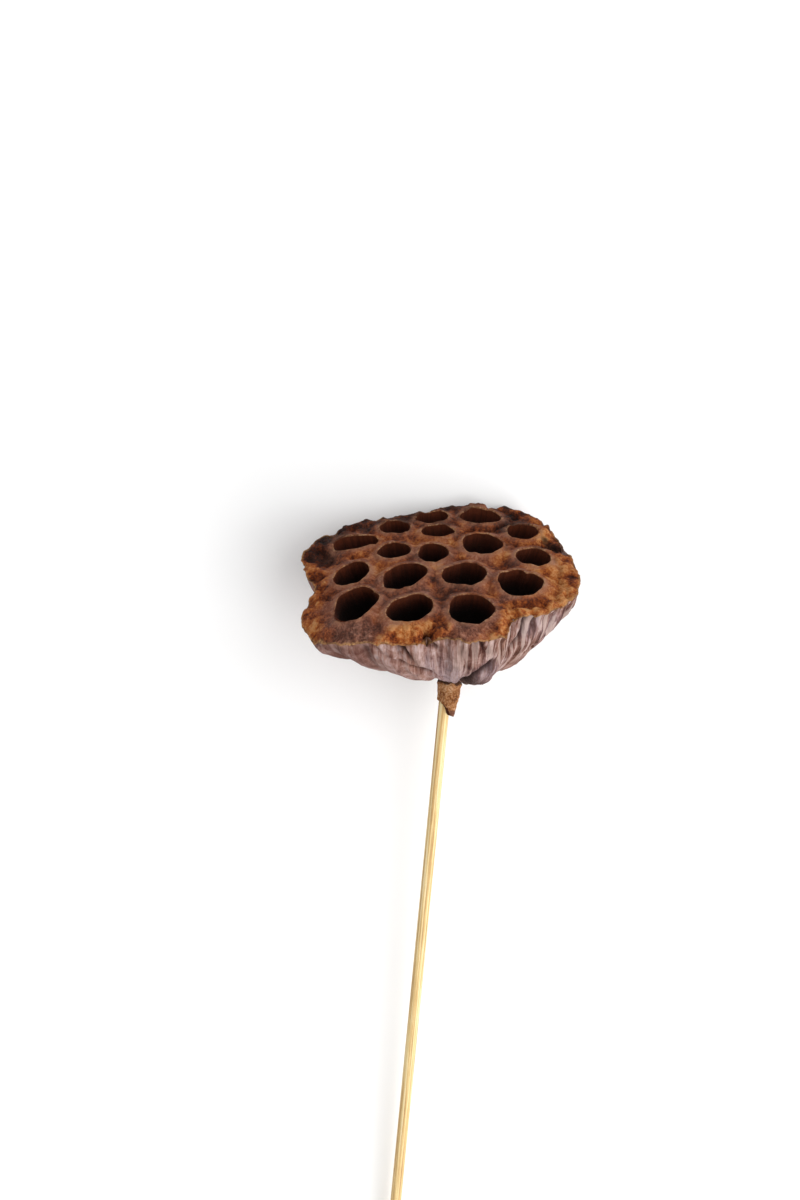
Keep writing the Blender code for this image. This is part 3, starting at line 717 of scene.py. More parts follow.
def warmth_and_back_shade(points, crust):
    """How orange the cork is at each point of the face, from 0 to 1, with painted shade towards the back.
    """
    amount = 0.62 + 0.22 * ripples(points, 14.0, 71) + 0.16 * ripples(points, 6.0, 72)
    amount -= 0.1 * smooth_step(1.8, 4.2, nearest_mouth(points)) * (1.0 - crust) + 0.06 * crust
    # Painted shade: the face gets darker towards its back.
    amount -= 0.26 * smooth_step(6.0, 42.0, points[:, 1])
    return np.clip(amount + 0.75 * near_spots(points, WARM_AND_SHADE_SPOTS), 0.0, 1.0)


def smoothness(points, crust):
    """How smooth and plum the skin is: round the mouths, in calm spots and in clouds."""
    at_back = 0.3 * smooth_step(0.0, 30.0, points[:, 1])
    collars = bump_shape(nearest_mouth(points), 0.8, 2.2) * (0.5 - at_back)
    clouds = np.clip(0.25 + 0.5 * ripples(points, 10.0, 96) - at_back, 0.0, 1.0) * (1.0 - crust)
    return np.clip(collars + near_spots(points, CALM_SPOTS) + clouds, 0.0, 1.0)


def lit_rim_share(bearing):
    """How much painted highlight the torn edge gets: more at the front and right than at its back."""
    front = 0.5 + 0.4 * groove(bearing, 245, 60) + 0.3 * groove(bearing, 340, 40)
    front = front - 0.45 * groove(bearing, 90, 60)
    return np.clip(front + 0.3 * ripples(on_circle(bearing), 12.0, 91), 0.0, 1.0)


# %% Points that fill the face
RIM_POINTS = 576
MOUTH_POINTS = 68
LIP_RINGS = (0.22, 0.5, 0.85, 1.3, 1.9)
# Rings of points inside the rim: how far in, and which points of the rim each one uses.
RIM_RINGS = ((0.3, 1), (0.65, 2), (1.05, 2), (1.5, 3))
FACE_SPACING = 0.52
CLEAR_OF_RINGS = 0.3
NUDGE = 0.12


def clear_of_rim(points):
    return inside_rim(points) > RIM_RINGS[-1][0] + CLEAR_OF_RINGS


def ring_points():
    """Points close to the rim and to each mouth, clear of the other outlines."""
    bearing = even_bearings(RIM_POINTS)
    found = []
    for inset, every in RIM_RINGS:
        ring = on_circle(bearing, 1.0) * (rim_radius(bearing) - inset)[:, None]
        ring = ring[::every]
        found.append(ring[nearest_mouth(ring) > 0.4])
    for cell in range(len(CELLS)):
        for offset in LIP_RINGS:
            ring = mouth_points(cell, MOUTH_POINTS, offset)
            free = nearest_mouth(ring, but=cell) > offset + 0.25
            found.append(ring[free & clear_of_rim(ring)])
    return np.concatenate(found)


def grid_points():
    """A staggered grid over the rest of the face, nudged so that no rows show."""
    steps = np.arange(-60.0, 60.0, FACE_SPACING)
    x, y = np.meshgrid(steps, steps * math.sin(math.pi / 3.0))
    x[::2] += 0.5 * FACE_SPACING
    grid = np.column_stack([x.ravel(), y.ravel()])
    grid += np.random.default_rng(5).uniform(-NUDGE, NUDGE, grid.shape)
    free = nearest_mouth(grid) > LIP_RINGS[-1] + CLEAR_OF_RINGS
    return grid[free & clear_of_rim(grid)]


# %% Fill the face between the rim and the mouths
def inside_loop(points, loop):
    """Which points lie in a closed loop: a line out of each crosses it an odd number of times."""
    inside = np.zeros(len(points), dtype=bool)
    for (ax, ay), (bx, by) in zip(loop, np.roll(loop, -1, axis=0)):
        if ay != by:
            crossed = (ay > points[:, 1]) != (by > points[:, 1])
            at = ax + (points[:, 1] - ay) * (bx - ax) / (by - ay)
            inside ^= crossed & (points[:, 0] < at)
    return inside


def fill_face(loops):
    """Triangles between the rim and the mouths, and where each outline's points went."""
    edges, starts, begin = [], [], 0
    for loop in loops:
        starts.append(begin)
        edges += [(begin + i, begin + (i + 1) % len(loop)) for i in range(len(loop))]
        begin += len(loop)
    points = np.concatenate(loops + [ring_points(), grid_points()])
    filled = delaunay_2d_cdt([Vector(point) for point in points], edges, [], 0, 1e-6)
    flat = np.array([tuple(vertex) for vertex in filled[0]])
    corners = np.array(filled[2])
    middles = flat[corners].mean(axis=1)
    keep = inside_loop(middles, loops[0])
    for loop in loops[1:]:
        keep &= ~inside_loop(middles, loop)
    place = {old: new for new, olds in enumerate(filled[3]) for old in olds}
    rings = [[place[start + i] for i in range(len(loop))] for start, loop in zip(starts, loops)]
    return flat, corners[keep], rings


def add_face(skin):
    """Adds the face and gives back the rim's ring and each mouth's ring."""
    bearing = even_bearings(RIM_POINTS)
    loops = [on_circle(bearing, 1.0) * rim_radius(bearing)[:, None]]
    loops += [mouth_points(cell, MOUTH_POINTS) for cell in range(len(CELLS))]
    flat, corners, rings = fill_face(loops)
    beside, inset, crust = nearest_mouth(flat), inside_rim(flat), crust_share(flat)
    numbers = add_points(
        skin,
        np.column_stack([flat, face_height(flat)]),
        round_mouths(flat),
        face=1.0,
        beside=beside,
        lip=bump_shape(beside, 0.15, 0.32),
        rimside=1.0 - smooth_step(0.2, 1.8, inset),
        crest=1.0 - smooth_step(0.1, 0.8, inset),
        crust=crust,
        halo=smoothness(flat, crust),
        warm=warmth_and_back_shade(flat, crust),
        sunny=lit_rim_share(polar(flat)[0]),
        crack=cracks(flat)[1],
    )
    skin["faces"] += numbers[corners].tolist()
    return numbers[rings[0]], [numbers[ring] for ring in rings[1:]]


# %% [markdown]
# ## Cells, flank and stalk
#
# The other patches are stacks of rings. A cell is a pocket that narrows and leans inwards. The
# flank runs from the rim to the seat of the stalk with fewer points as it narrows. The stub
# ends in a torn edge and has a socket, where the reed stands.

# %% Rings down each cell
# How soon a wall forgets its mouth's uneven edge, as a share of the depth.
MOUTH_FADE = 0.05
# How much the grain runs down a wall, and how far apart two cells' grains are.
WALL_GRAIN = 0.12
WALLS_APART = 40.0
# Each row of a cell: its share of the depth and its size.
CELL_ROWS = (
    (0.012, 1.004), (0.035, 1.014), (0.08, 1.03), (0.16, 1.025), (0.27, 1.01), (0.38, 1.0),
    (0.5, 0.975), (0.61, 0.945), (0.72, 0.9), (0.81, 0.835), (0.89, 0.745), (0.95, 0.64),
    (0.985, 0.42),
)


def add_cell(skin, cell, mouth):
    bearing = even_bearings(MOUTH_POINTS)
    middle = np.array(CELLS[cell][:2])
    from_middle = mouth_points(cell, MOUTH_POINTS) - middle
    reach = np.hypot(*middle) / USUAL_RADIUS
    depth = CELL_DEPTH * (1.0 - SHALLOWER_AT_RIM * reach**4)
    top = CROWN * (1.0 - reach**2)
    rim_z = np.concatenate(skin["points"])[mouth][:, 2]
    ring = mouth
    for share, size in CELL_ROWS:
        blend = math.exp(-share / MOUTH_FADE)
        row = from_middle * size + middle * (1.0 - CELL_LEAN_IN * share)
        z = top * (1.0 - blend) + rim_z * blend - depth * share
        place = np.column_stack([row, np.full(len(row), 3.0 * depth * share)])
        row = row * (1.0 + 0.25 * ripples(place, 6.0, 81)[:, None] * min(share, 0.3) / 6.0)
        grain = wrapped(bearing, WALL_GRAIN * depth * share, GRAIN_ROUND) + WALLS_APART * cell
        # The cell mask is the share of the depth, which the walls' painted shade follows.
        masks = {"cell": max(share, 0.05), "lip": math.exp(-share / 0.02), "warm": 0.5}
        ring = next_ring(skin, ring, np.column_stack([row, z]), grain, **masks)
    close_ring(skin, ring, (*(middle * (1.0 - CELL_LEAN_IN)), top - depth), cell=1.0)


# %% Rings down the flank
FLANK_STEPS = 84
FLANK_GRAIN = 4.0
# Where, as a share of the way down, the rings go on with half as many points.
HALVE_AT = (0.6, 0.86)
# Lilac patches of the flank, which are painted highlights: bearing, share of the way down, both
# half widths and strength. Brown ones are below 0: the two on the left side, at bearings 208 and
# 232, are painted shade, and the rest are brown patches.
LILAC_SPOTS = (
    (275, 0.5, 11, 0.3, 1.0), (297, 0.35, 8, 0.22, 0.8), (262, 0.2, 6, 0.15, 0.5),
    (243, 0.55, 16, 0.25, 0.25), (320, 0.12, 7, 0.12, 0.7), (333, 0.15, 5, 0.12, 0.7),
    (284, 0.12, 5, 0.1, -0.9), (308, 0.25, 6, 0.2, -0.5), (208, 0.3, 18, 0.35, -0.9),
    (232, 0.2, 18, 0.25, -0.8), (256, 0.1, 5, 0.1, -0.4), (345, 0.3, 9, 0.3, -0.4),
    (60, 0.3, 14, 0.3, 0.4), (110, 0.2, 12, 0.3, -0.5), (150, 0.4, 14, 0.3, 0.4),
)


def lilac_share(bearing, share):
    """How lilac each point of one row of the flank is, from -1 for brown to 1."""
    amount = np.zeros(len(bearing))
    for middle, at, half_degrees, half_share, strength in LILAC_SPOTS:
        amount += strength * groove(bearing, middle, half_degrees) * bump_shape(share, at, half_share)
    return np.clip(amount, -1.0, 1.0)


def flank_masks(bearing, share, grain):
    """The masks of one row of the flank, but for its folds."""
    # A painted shadow on the flank under the right lobe, laid on with the dark seat's colour.
    painted_shadow = 0.9 * groove(bearing, 290, 9) * bump_shape(share, 0.58, 0.16)
    pleated = 0.12 + 0.8 * groove(bearing, 325, 50)
    return {
        "flank": smooth_step(0.0, 0.02, share),
        "rimside": math.exp(-share / 0.02),
        "crest": math.exp(-share / 0.007),
        "seat": np.maximum(smooth_step(0.95, 0.99, share), painted_shadow),
        "halo": groove(bearing, 240, 26) * smooth_step(0.15, 0.3, share),
        "warm": 0.5 + 0.5 * ripples(grain, 16.0, 92),
        "sunny": lit_rim_share(bearing),
        "pleated": pleated * (1.0 - smooth_step(0.2, 0.55, share)),
        "lilac": lilac_share(bearing, share),
    }


def add_flank(skin, rim):
    """Rings from the rim down to the seat of the stalk; gives back the last one."""
    bearing = even_bearings(RIM_POINTS)
    ring = rim
    halved = list(HALVE_AT)
    steps = np.linspace(0.0, 1.0, FLANK_STEPS + 1)[1:]
    for share in 0.25 * steps**2 + 0.75 * steps:
        if halved and share > halved[0]:
            halved.pop(0)
            bearing = bearing[::2]
        points, fold = flank_row(bearing, share)
        grain = wrapped(bearing, FLANK_GRAIN * share)
        masks = flank_masks(bearing, share, grain)
        ring = next_ring(skin, ring, points, grain, fold=fold, **masks)
    return ring, bearing


# %% The stub of stalk with its torn end and its socket
STALK_STEPS = 26
STALK_GRAIN = 3.0


def ring_of(bearing, radius, middle, across, up):
    side = np.outer(np.cos(bearing) * radius, across)
    return np.array(middle) + side + np.outer(np.sin(bearing) * radius, up)


def torn_end(bearing):
    """How far the torn end of the stalk runs on at each bearing."""
    around = on_circle(bearing, STALK_END_RADIUS)
    torn = TORN_EDGE * ripples(around, STALK_END_RADIUS, 41) + 0.22 * ripples(around, 0.9, 43)
    for length, middle, half_width in TORN_TONGUES:
        torn = torn + length * groove(bearing, middle, half_width)
    return torn


def stalk_radius(bearing, share):
    """The stalk's radius at a share of its length, with knobs, a neck and a swelling."""
    radius = np.interp(share, *np.transpose(STALK_ROWS))
    knobs = STALK_KNOBS * ripples(on_circle(bearing, STALK_END_RADIUS), STALK_END_RADIUS, 42)
    radius = radius + knobs * smooth_step(0.0, 0.2, share) * (1.0 - smooth_step(0.85, 1.0, share))
    return radius - 0.3 * bump_shape(share, 0.42, 0.07) + 0.25 * bump_shape(share, 0.54, 0.05)


def add_stub(skin, ring, bearing):
    """Rings down the stalk to its torn end; gives back the last one and where it ends."""
    along, across, up = stalk_axes()
    tongues = torn_end(bearing)
    for step in range(STALK_STEPS + 1):
        share = 0.03 + 0.97 * step / STALK_STEPS
        reach = STALK_LENGTH * share + tongues * smooth_step(0.5, 1.0, share)
        points = ring_of(bearing, stalk_radius(bearing, share), stalk_root(), across, up)
        grain = wrapped(bearing, STALK_GRAIN * share, 5.0)
        masks = {
            "stalk": max(share, 0.05),
            "torn": tongues * smooth_step(0.7, 1.0, share),
            "seat": 1.0 - smooth_step(0.48, 0.56, share + 0.03 * ripples(grain, 3.0, 44)),
        }
        ring = next_ring(skin, ring, points + np.outer(reach, along), grain, **masks)
    return ring, STALK_LENGTH + tongues


def add_socket(skin, ring, bearing, end):
    """Rings from the torn end into the socket, and the socket's bottom."""
    along, across, up = stalk_axes()
    bore = REED_RADIUS + SOCKET_GAP
    edge = end - TORN_THICKNESS
    # Each ring: its radius, its place along the stalk, its shift to the reed and its painted shade, which
    # deepens into the socket.
    rows = (
        (0.5 * (bore + STALK_END_RADIUS), edge + 0.25, 0.5, 0.05),
        (bore, edge, 1.0, 0.12),
        (bore, 0.5 * STALK_LENGTH, 1.0, 0.5),
        (bore, -SOCKET_INSIDE, 1.0, 0.8),
    )
    for radius, reach, shift, painted_shade in rows:
        centre = stalk_root() - across * SOCKET_OFFSET * shift
        points = ring_of(bearing, radius, centre, across, up)
        points = points + np.outer(np.broadcast_to(reach, bearing.shape), along)
        ring = next_ring(skin, ring, points, points, stalk=1.0, cell=painted_shade)
    close_ring(skin, ring, centre - along * SOCKET_INSIDE, cell=1.0)


# %% [markdown]
# ## From patches to one mesh
#
# The patches become a mesh, and a last pass pushes each point along its normal by the fine relief
# that belongs there: crumbs and folds on the crust, wrinkles and thin webs on the leathery
# middle, lumps and fibres on the flank, and knobs with small pits on the stalk. Then the pod is
# laid down, and what would sink below the surface is flattened, as on the solid.

# %% Relief of the face
def webs(places, length, shift):
    """Thin raised lines with rounded dips between them."""
    return 0.5 - np.abs(crumble(places, length, shift=shift)) * 1.8


def face_relief(skin, points, bearing, fine):
    """Crumbs and folds on the crust, and webs and wrinkles on the leather."""
    crust, lip, rimside = skin["crust"], skin["lip"], skin["rimside"]
    pillows = np.abs(crumble(points, 6.5, shift=4.4)) - 0.2
    radial = wrapped(bearing, 0.3 * polar(points)[1])
    crumbs = 0.5 * crumble(points, 8.0, 3) + (0.8 + 0.7 * groove(bearing, 5, 50)) * pillows
    crumbs = crumbs + 0.55 * webs(radial, 3.2, 6.1) + 0.36 * fine
    crumbs = crumbs * (1.0 - 0.4 * groove(bearing, 90, 75))
    leather = 0.16 * crumble(points, 4.0, 3, shift=3.1) + 0.07 * fine
    held = 1.0 - 0.75 * np.clip(lip, 0.0, 1.0)
    out = held * (crust * crumbs * (1.0 - 0.6 * rimside) + (1.0 - crust) * leather)
    valley = (1.0 - crust) * smooth_step(1.6, 4.0, skin["beside"])
    out += valley * (0.35 * webs(points, 3.6, 4.4) + 0.25 * fine)
    wrinkles = crumble(skin["grain"], 1.8, 3, shift=2.2)
    return out + 0.05 * lip * fine + 0.12 * wrinkles * (1.0 - 0.6 * lip)


# %% Relief of the flank and of the whole pod
def flank_relief(skin, points, bearing, fine, streaks):
    """Lumps, fibres and thin pleats that run down the flank."""
    rimside = skin["rimside"]
    waves = np.abs(crumble(skin["grain"] * (1.0, 1.0, 0.8), 6.5, 2, shift=8.1))
    pleats = (1.0 - np.minimum(waves * 2.2, 1.0)) ** 2 * (1.0 - 0.5 * rimside)
    pleating = 0.2 + 0.4 * groove(bearing, 335, 40) + 0.15 * groove(bearing, 90, 100)
    front = groove(bearing, 250, 45) + groove(bearing, 295, 30)
    lumps = 0.42 * crumble(points, 7.0, 3, shift=2.6) * (0.35 + 0.65 * front)
    fibres = lumps + 0.14 * streaks + 0.07 * fine - pleating * pleats
    return fibres * (1.0 - 0.75 * skin["halo"]) * (1.0 - 0.4 * rimside)


def relief(skin, points):
    """How far each point stands out of the plain skin, in millimetres."""
    bearing = polar(points)[0]
    fine = crumble(points, 1.7, shift=7.3)
    streaks = crumble(skin["grain"] * (1.0, 1.0, 1.6), 2.1, shift=5.5)
    stalk, in_cell = np.minimum(skin["stalk"] * 20.0, 1.0), skin["cell"] > 0.0
    knobs = 0.2 * crumble(points, 1.9, shift=1.7) - 0.22 * pits(points, 1.7, shift=4.0)
    out = skin["face"] * face_relief(skin, points, bearing, fine)
    out += skin["flank"] * flank_relief(skin, points, bearing, fine, streaks)
    return out + stalk * knobs * ~in_cell + 0.04 * in_cell * (stalk == 0.0) * streaks


def finished_arrays(skin):
    arrays = {mask: np.concatenate(values).astype(float) for mask, values in skin["masks"].items()}
    arrays["grain"] = np.concatenate(skin["grain"])
    arrays["points"] = np.concatenate(skin["points"])
    return arrays


def mesh_from(name, points, faces):
    data = bpy.data.meshes.new(name)
    data.from_pydata((points * MM).tolist(), [], faces)
    data.update()
    return data


def normals_of(data):
    flat = np.empty(3 * len(data.vertices))
    data.vertices.foreach_get("normal", flat)
    return flat.reshape(-1, 3)


def lay(points, matrix):
    turn = np.array(matrix.to_3x3())
    laid = points @ turn.T + np.array(matrix.translation)
    laid[:, 2] = np.maximum(laid[:, 2], 0.0)
    return laid


def finish_mesh(name, skin, arrays, matrix):
    """The laid-down object, with every mask saved on its points."""
    data = mesh_from(name, lay(arrays["points"], matrix), skin["faces"])
    for mask, values in arrays.items():
        if mask == "grain":
            layer = data.attributes.new("grain", "FLOAT_VECTOR", "POINT")
            layer.data.foreach_set("vector", values.astype(np.float32).ravel())
        elif mask != "points":
            layer = data.attributes.new(mask, "FLOAT", "POINT")
            layer.data.foreach_set("value", values.astype(np.float32))
    data.shade_smooth()
    made = bpy.data.objects.new(name, data)
    bpy.context.scene.collection.objects.link(made)
    return made


# %% Make the pod
def make_pod():
    skin = new_skin(PLACES + LOOKS)
    rim, mouths = add_face(skin)
    for cell, mouth in enumerate(mouths):
        add_cell(skin, cell, mouth)
    seat, bearing = add_flank(skin, rim)
    torn, end = add_stub(skin, seat, bearing)
    add_socket(skin, torn, bearing, end)
    arrays = finished_arrays(skin)
    plain = mesh_from("plain_pod", arrays["points"], skin["faces"])
    outward = normals_of(plain)
    bpy.data.meshes.remove(plain)
    arrays["relief"] = relief(arrays, arrays["points"])
    arrays["points"] = arrays["points"] + outward * arrays["relief"][:, None]
    return finish_mesh("seed_head", skin, arrays, lay_down())


seed_head = make_pod()
triangles = sum(len(face.vertices) - 2 for face in seed_head.data.polygons)
print("seed head:", len(seed_head.data.vertices), "points,", triangles, "triangles")

# %% [markdown]
# ## The reed
#
# The reed is a split and dried stem: pale straw, a little oval, with fine flutes that run its
# whole length and open pores at the cut end. It is a stack of rings from the socket to the
# surface. Its flutes are real geometry, because they catch the light at any angle.

# %% Make the reed
REED_SIDES = 96
REED_STEPS = 170
FLUTES = ((0.05, 1.5, 51), (0.03, 0.6, 52))
CUT_RINGS = (0.93, 0.7, 0.4)
REED_STRETCH = 0.018


def reed_ring(bearing, along_share, size=1.0):
    taper = 1.0 + (REED_TAPER - 1.0) * along_share
    oval = 1.0 - REED_OVAL * math.cos(REED_OVAL_WAVES * along_share) ** 2
    around = wrapped(bearing, 0.8 * along_share, REED_RADIUS)
    inward = sum(depth * (1.0 + ripples(around, width, seed)) for depth, width, seed in FLUTES)
    radius = (REED_RADIUS * taper - 0.6 * inward) * size
    return on_circle(bearing, 1.0) * radius[:, None] * (1.0, oval)


def make_reed():
    skin = new_skin(("cut",))
    bearing = even_bearings(REED_SIDES)
    length = REED_FREE_LENGTH + SOCKET_INSIDE - SOCKET_GAP
    stations = [(0.0, size, 1.0) for size in CUT_RINGS[::-1]]
    stations += [(step / REED_STEPS, 1.0, 0.0) for step in range(REED_STEPS + 1)]
    stations += [(1.0, size, 1.0) for size in CUT_RINGS]
    ring = None
    for share, size, cut in stations:
        height = length * (share - 0.5)
        flat = reed_ring(bearing, share, size)
        grain = wrapped(bearing, height * REED_STRETCH, REED_RADIUS * size)
        below = add_points(skin, np.column_stack([flat, np.full(len(flat), height)]), grain, cut=cut)
        if ring is None:
            close_ring(skin, below[::-1], (0.0, 0.0, height), cut=1.0)
        else:
            join_rings(skin, below, ring)
        ring = below
    close_ring(skin, ring, (0.0, 0.0, height), cut=1.0)
    along = reed_heading()
    across = sideways(along)
    turn = Matrix((across, along.cross(across), along)).transposed().to_4x4()
    socket = lay_down() @ stalk_root() - across * SOCKET_OFFSET
    middle = socket + along * (0.5 * length - SOCKET_INSIDE + SOCKET_GAP)
    return finish_mesh("reed_stick", skin, finished_arrays(skin), Matrix.Translation(middle) @ turn)


reed_stick = make_reed()
print("reed stick:", len(reed_stick.data.vertices), "points")

# %% [markdown]
# ## Paint from nodes
#
# A material here is a small graph. A few helpers keep each graph readable. A part is one output
# of a node, and parts can be added and multiplied like numbers, so that a graph reads like a
# sum. The others mix two colours, lay tints over a skin or stretch a value between two limits.

# %% Parts of a graph
class Part:
    """One output of a node. Adding or multiplying it puts another node in its graph."""

    def __init__(self, tree, socket):
        self.tree = tree
        self.socket = socket

    def __add__(self, other):
        return worked_out(self.tree, "ADD", self, other)

    def __sub__(self, other):
        return worked_out(self.tree, "SUBTRACT", self, other)

    def __mul__(self, other):
        return worked_out(self.tree, "MULTIPLY", self, other)


def fill(tree, socket, value):
    """A part is linked to the socket, and anything else is set on it."""
    if isinstance(value, Part):
        tree.links.new(value.socket, socket)
    else:
        socket.default_value = value


def put(tree, kind, inputs, output=0, **settings):
    """Puts a node in a tree, fills its inputs and gives back one output."""
    made = tree.nodes.new(kind)
    for name, value in settings.items():
        setattr(made, name, value)
    for name, value in inputs.items():
        fill(tree, made.inputs[name], value)
    return Part(tree, made.outputs[output]) if made.outputs else None


def worked_out(tree, operation, first, second):
    return put(tree, "ShaderNodeMath", {0: first, 1: second}, operation=operation)


def mask_of(tree, name, output="Fac"):
    return put(tree, "ShaderNodeAttribute", {}, output, attribute_name=name)


# %% Limits, mixes and ramps
def between(value, low, high, to_low=0.0, to_high=1.0):
    """Stretches a part from one pair of limits to another, with soft ends."""
    limits = {"Value": value, "From Min": low, "From Max": high, "To Min": to_low, "To Max": to_high}
    return put(value.tree, "ShaderNodeMapRange", limits, interpolation_type="SMOOTHSTEP")


def colour(code):
    """A colour from its six-letter code, as the linear values that Blender works with."""
    parts = [int(code[i : i + 2], 16) / 255.0 for i in (0, 2, 4)]
    linear = [part / 12.92 if part <= 0.04045 else ((part + 0.055) / 1.055) ** 2.4 for part in parts]
    return (*linear, 1.0)


def mixed(tree, share, first, second, mode="MIX"):
    inputs = {0: share, 6: first, 7: second}
    return put(tree, "ShaderNodeMix", inputs, 2, data_type="RGBA", blend_type=mode)


def tinted(skin, *tints):
    """Lays tints over a skin, one after another: each is a share and a colour code."""
    for share, code in tints:
        skin = mixed(skin.tree, share, skin, colour(code))
    return skin


def shades(share, stops):
    """A ramp through colours: rows of position and colour code."""
    ramp = put(share.tree, "ShaderNodeValToRGB", {"Fac": share}, "Color")
    band = ramp.socket.node.color_ramp
    while len(band.elements) < len(stops):
        band.elements.new(0.5)
    for element, (at, code) in zip(band.elements, stops):
        element.position = at
        element.color = colour(code)
    return ramp


# %% Node groups
def new_group(name, inputs, outputs):
    """A node group with named sockets, and the parts that it is given."""
    group = bpy.data.node_groups.new(name, "ShaderNodeTree")
    for socket, kind, value in inputs:
        made = group.interface.new_socket(socket, in_out="INPUT", socket_type="NodeSocket" + kind)
        if value is not None:
            made.default_value = value
    for socket, kind in outputs:
        group.interface.new_socket(socket, in_out="OUTPUT", socket_type="NodeSocket" + kind)
    entry = group.nodes.new("NodeGroupInput")
    return group, {name: Part(group, entry.outputs[name]) for name, _, _ in inputs}


def use(tree, group, **inputs):
    """Puts a group in a tree and gives back its outputs by name."""
    made = tree.nodes.new("ShaderNodeGroup")
    made.node_tree = group
    for name, value in inputs.items():
        fill(tree, made.inputs[name.replace("_", " ")], value)
    return {socket.name: Part(tree, socket) for socket in made.outputs}


# %% [markdown]
# ## Three effects that both pieces share
#
# Dried plants show the same few things at different sizes. Mottle is the cloudy change of tone in
# cork and straw, with fine grit in it. Fibre lines run along the grain and are stretched far
# more than they are wide. Dusting lays a paler tone where its Raised input is high: on the pod
# that input is the relief, so raised bits get a painted highlight and the hollows stay darker,
# and on the reed it follows the clouds. Each is built once as a group and gets its own values in
# each material.

# %% Mottle, fibre lines and dusting
def noise_in(tree, place, scale, **inputs):
    inputs = {"Vector": place, "Scale": scale, **inputs}
    return put(tree, "ShaderNodeTexNoise", inputs, "Fac")


def make_mottle():
    group, given = new_group(
        "mottle",
        (("Place", "Vector", None), ("Size", "Float", 5.0), ("Grit Size", "Float", 0.8)),
        (("Clouds", "Float"), ("Grit", "Float"), ("Specks", "Float")),
    )
    place = given["Place"]
    cloud_scale = worked_out(group, "DIVIDE", 1.0, given["Size"])
    grit_scale = worked_out(group, "DIVIDE", 1.0, given["Grit Size"])
    clouds = noise_in(group, place, cloud_scale, Detail=5.0, Roughness=0.62, Distortion=0.6)
    grit = noise_in(group, place, grit_scale, Detail=5.0, Roughness=0.75)
    dots = put(group, "ShaderNodeTexVoronoi", {"Vector": place, "Scale": grit_scale}, "Distance")
    results = {
        "Clouds": between(clouds, 0.3, 0.7),
        "Grit": between(grit, 0.34, 0.66),
        "Specks": between(dots, 0.3, 0.08),
    }
    put(group, "NodeGroupOutput", results)
    return group


def make_fibres():
    group, given = new_group(
        "fibre_lines",
        (("Grain", "Vector", None), ("Width", "Float", 1.0), ("Waver", "Float", 0.5)),
        (("Bands", "Float"), ("Hairs", "Float")),
    )
    grain, waver = given["Grain"], given["Waver"]
    scale = worked_out(group, "DIVIDE", 1.0, given["Width"])
    bands = noise_in(group, grain, scale, Detail=3.0, Distortion=waver)
    hairs = noise_in(group, grain, scale * 3.4, Detail=4.0, Roughness=0.7, Distortion=waver)
    results = {"Bands": between(bands, 0.32, 0.68), "Hairs": between(hairs, 0.32, 0.68)}
    put(group, "NodeGroupOutput", results)
    return group


def make_dusting():
    group, given = new_group(
        "dusting",
        (("Colour", "Color", None), ("Dust", "Color", None), ("Amount", "Float", 0.3),
         ("Raised", "Float", 0.5), ("Grit", "Float", 0.5)),
        (("Colour", "Color"),),
    )
    share = given["Raised"] * between(given["Grit"], 0.25, 0.8) * given["Amount"]
    put(group, "NodeGroupOutput", {"Colour": mixed(group, share, given["Colour"], given["Dust"])})
    return group


mottle = make_mottle()
fibre_lines = make_fibres()
dusting = make_dusting()
print("shared groups:", mottle.name, fibre_lines.name, dusting.name)

# %% [markdown]
# ## The pod's finish
#
# One material covers the whole pod, as one skin covers the real one. Its masks lead from orange
# cork on the margin to purple-brown leather between the cells, with paler collars and thin pale
# lips round the mouths, partly their own tone and partly painted highlight. The cells' walls go
# from red-brown to black, a painted shade that deepens with depth. The flank has a lilac bloom,
# painted as highlight in patches, and pale and dark pleats, which are painted highlight and shade.
# Low places, folds and cracks are painted darker as shade, and raised places paler as highlight.

# %% Start a material
def new_material(name):
    material = bpy.data.materials.new(name)
    material.use_nodes = True
    return material, material.node_tree, material.node_tree.nodes["Principled BSDF"]


def in_millimetres(tree):
    place = put(tree, "ShaderNodeTexCoord", {}, "Object")
    return put(tree, "ShaderNodeVectorMath", {0: place, "Scale": 1.0 / MM}, operation="SCALE")


def effects_in(tree, size, grit_size, width, waver):
    """The parts of mottle and of fibre lines in one dictionary."""
    effects = use(tree, mottle, Place=in_millimetres(tree), Size=size, Grit_Size=grit_size)
    grain = mask_of(tree, "grain", "Vector")
    return {**effects, **use(tree, fibre_lines, Grain=grain, Width=width, Waver=waver)}


# %% Colours of the face
CORK = (
    (0.0, "150603"), (0.24, "34140a"), (0.44, "622b13"), (0.62, "974a1f"), (0.8, "bb6d33"),
    (1.0, "d3935a"),
)
LEATHER = ((0.0, "5a3025"), (0.45, "96624f"), (1.0, "c4927e"))
# Thin pale lips round the mouths: partly their own tone and partly a painted highlight on the raised
# rims.
LIPS_AND_HIGHLIGHT = ((0.0, "8a5433"), (0.5, "b8835a"), (1.0, "dcb892"))


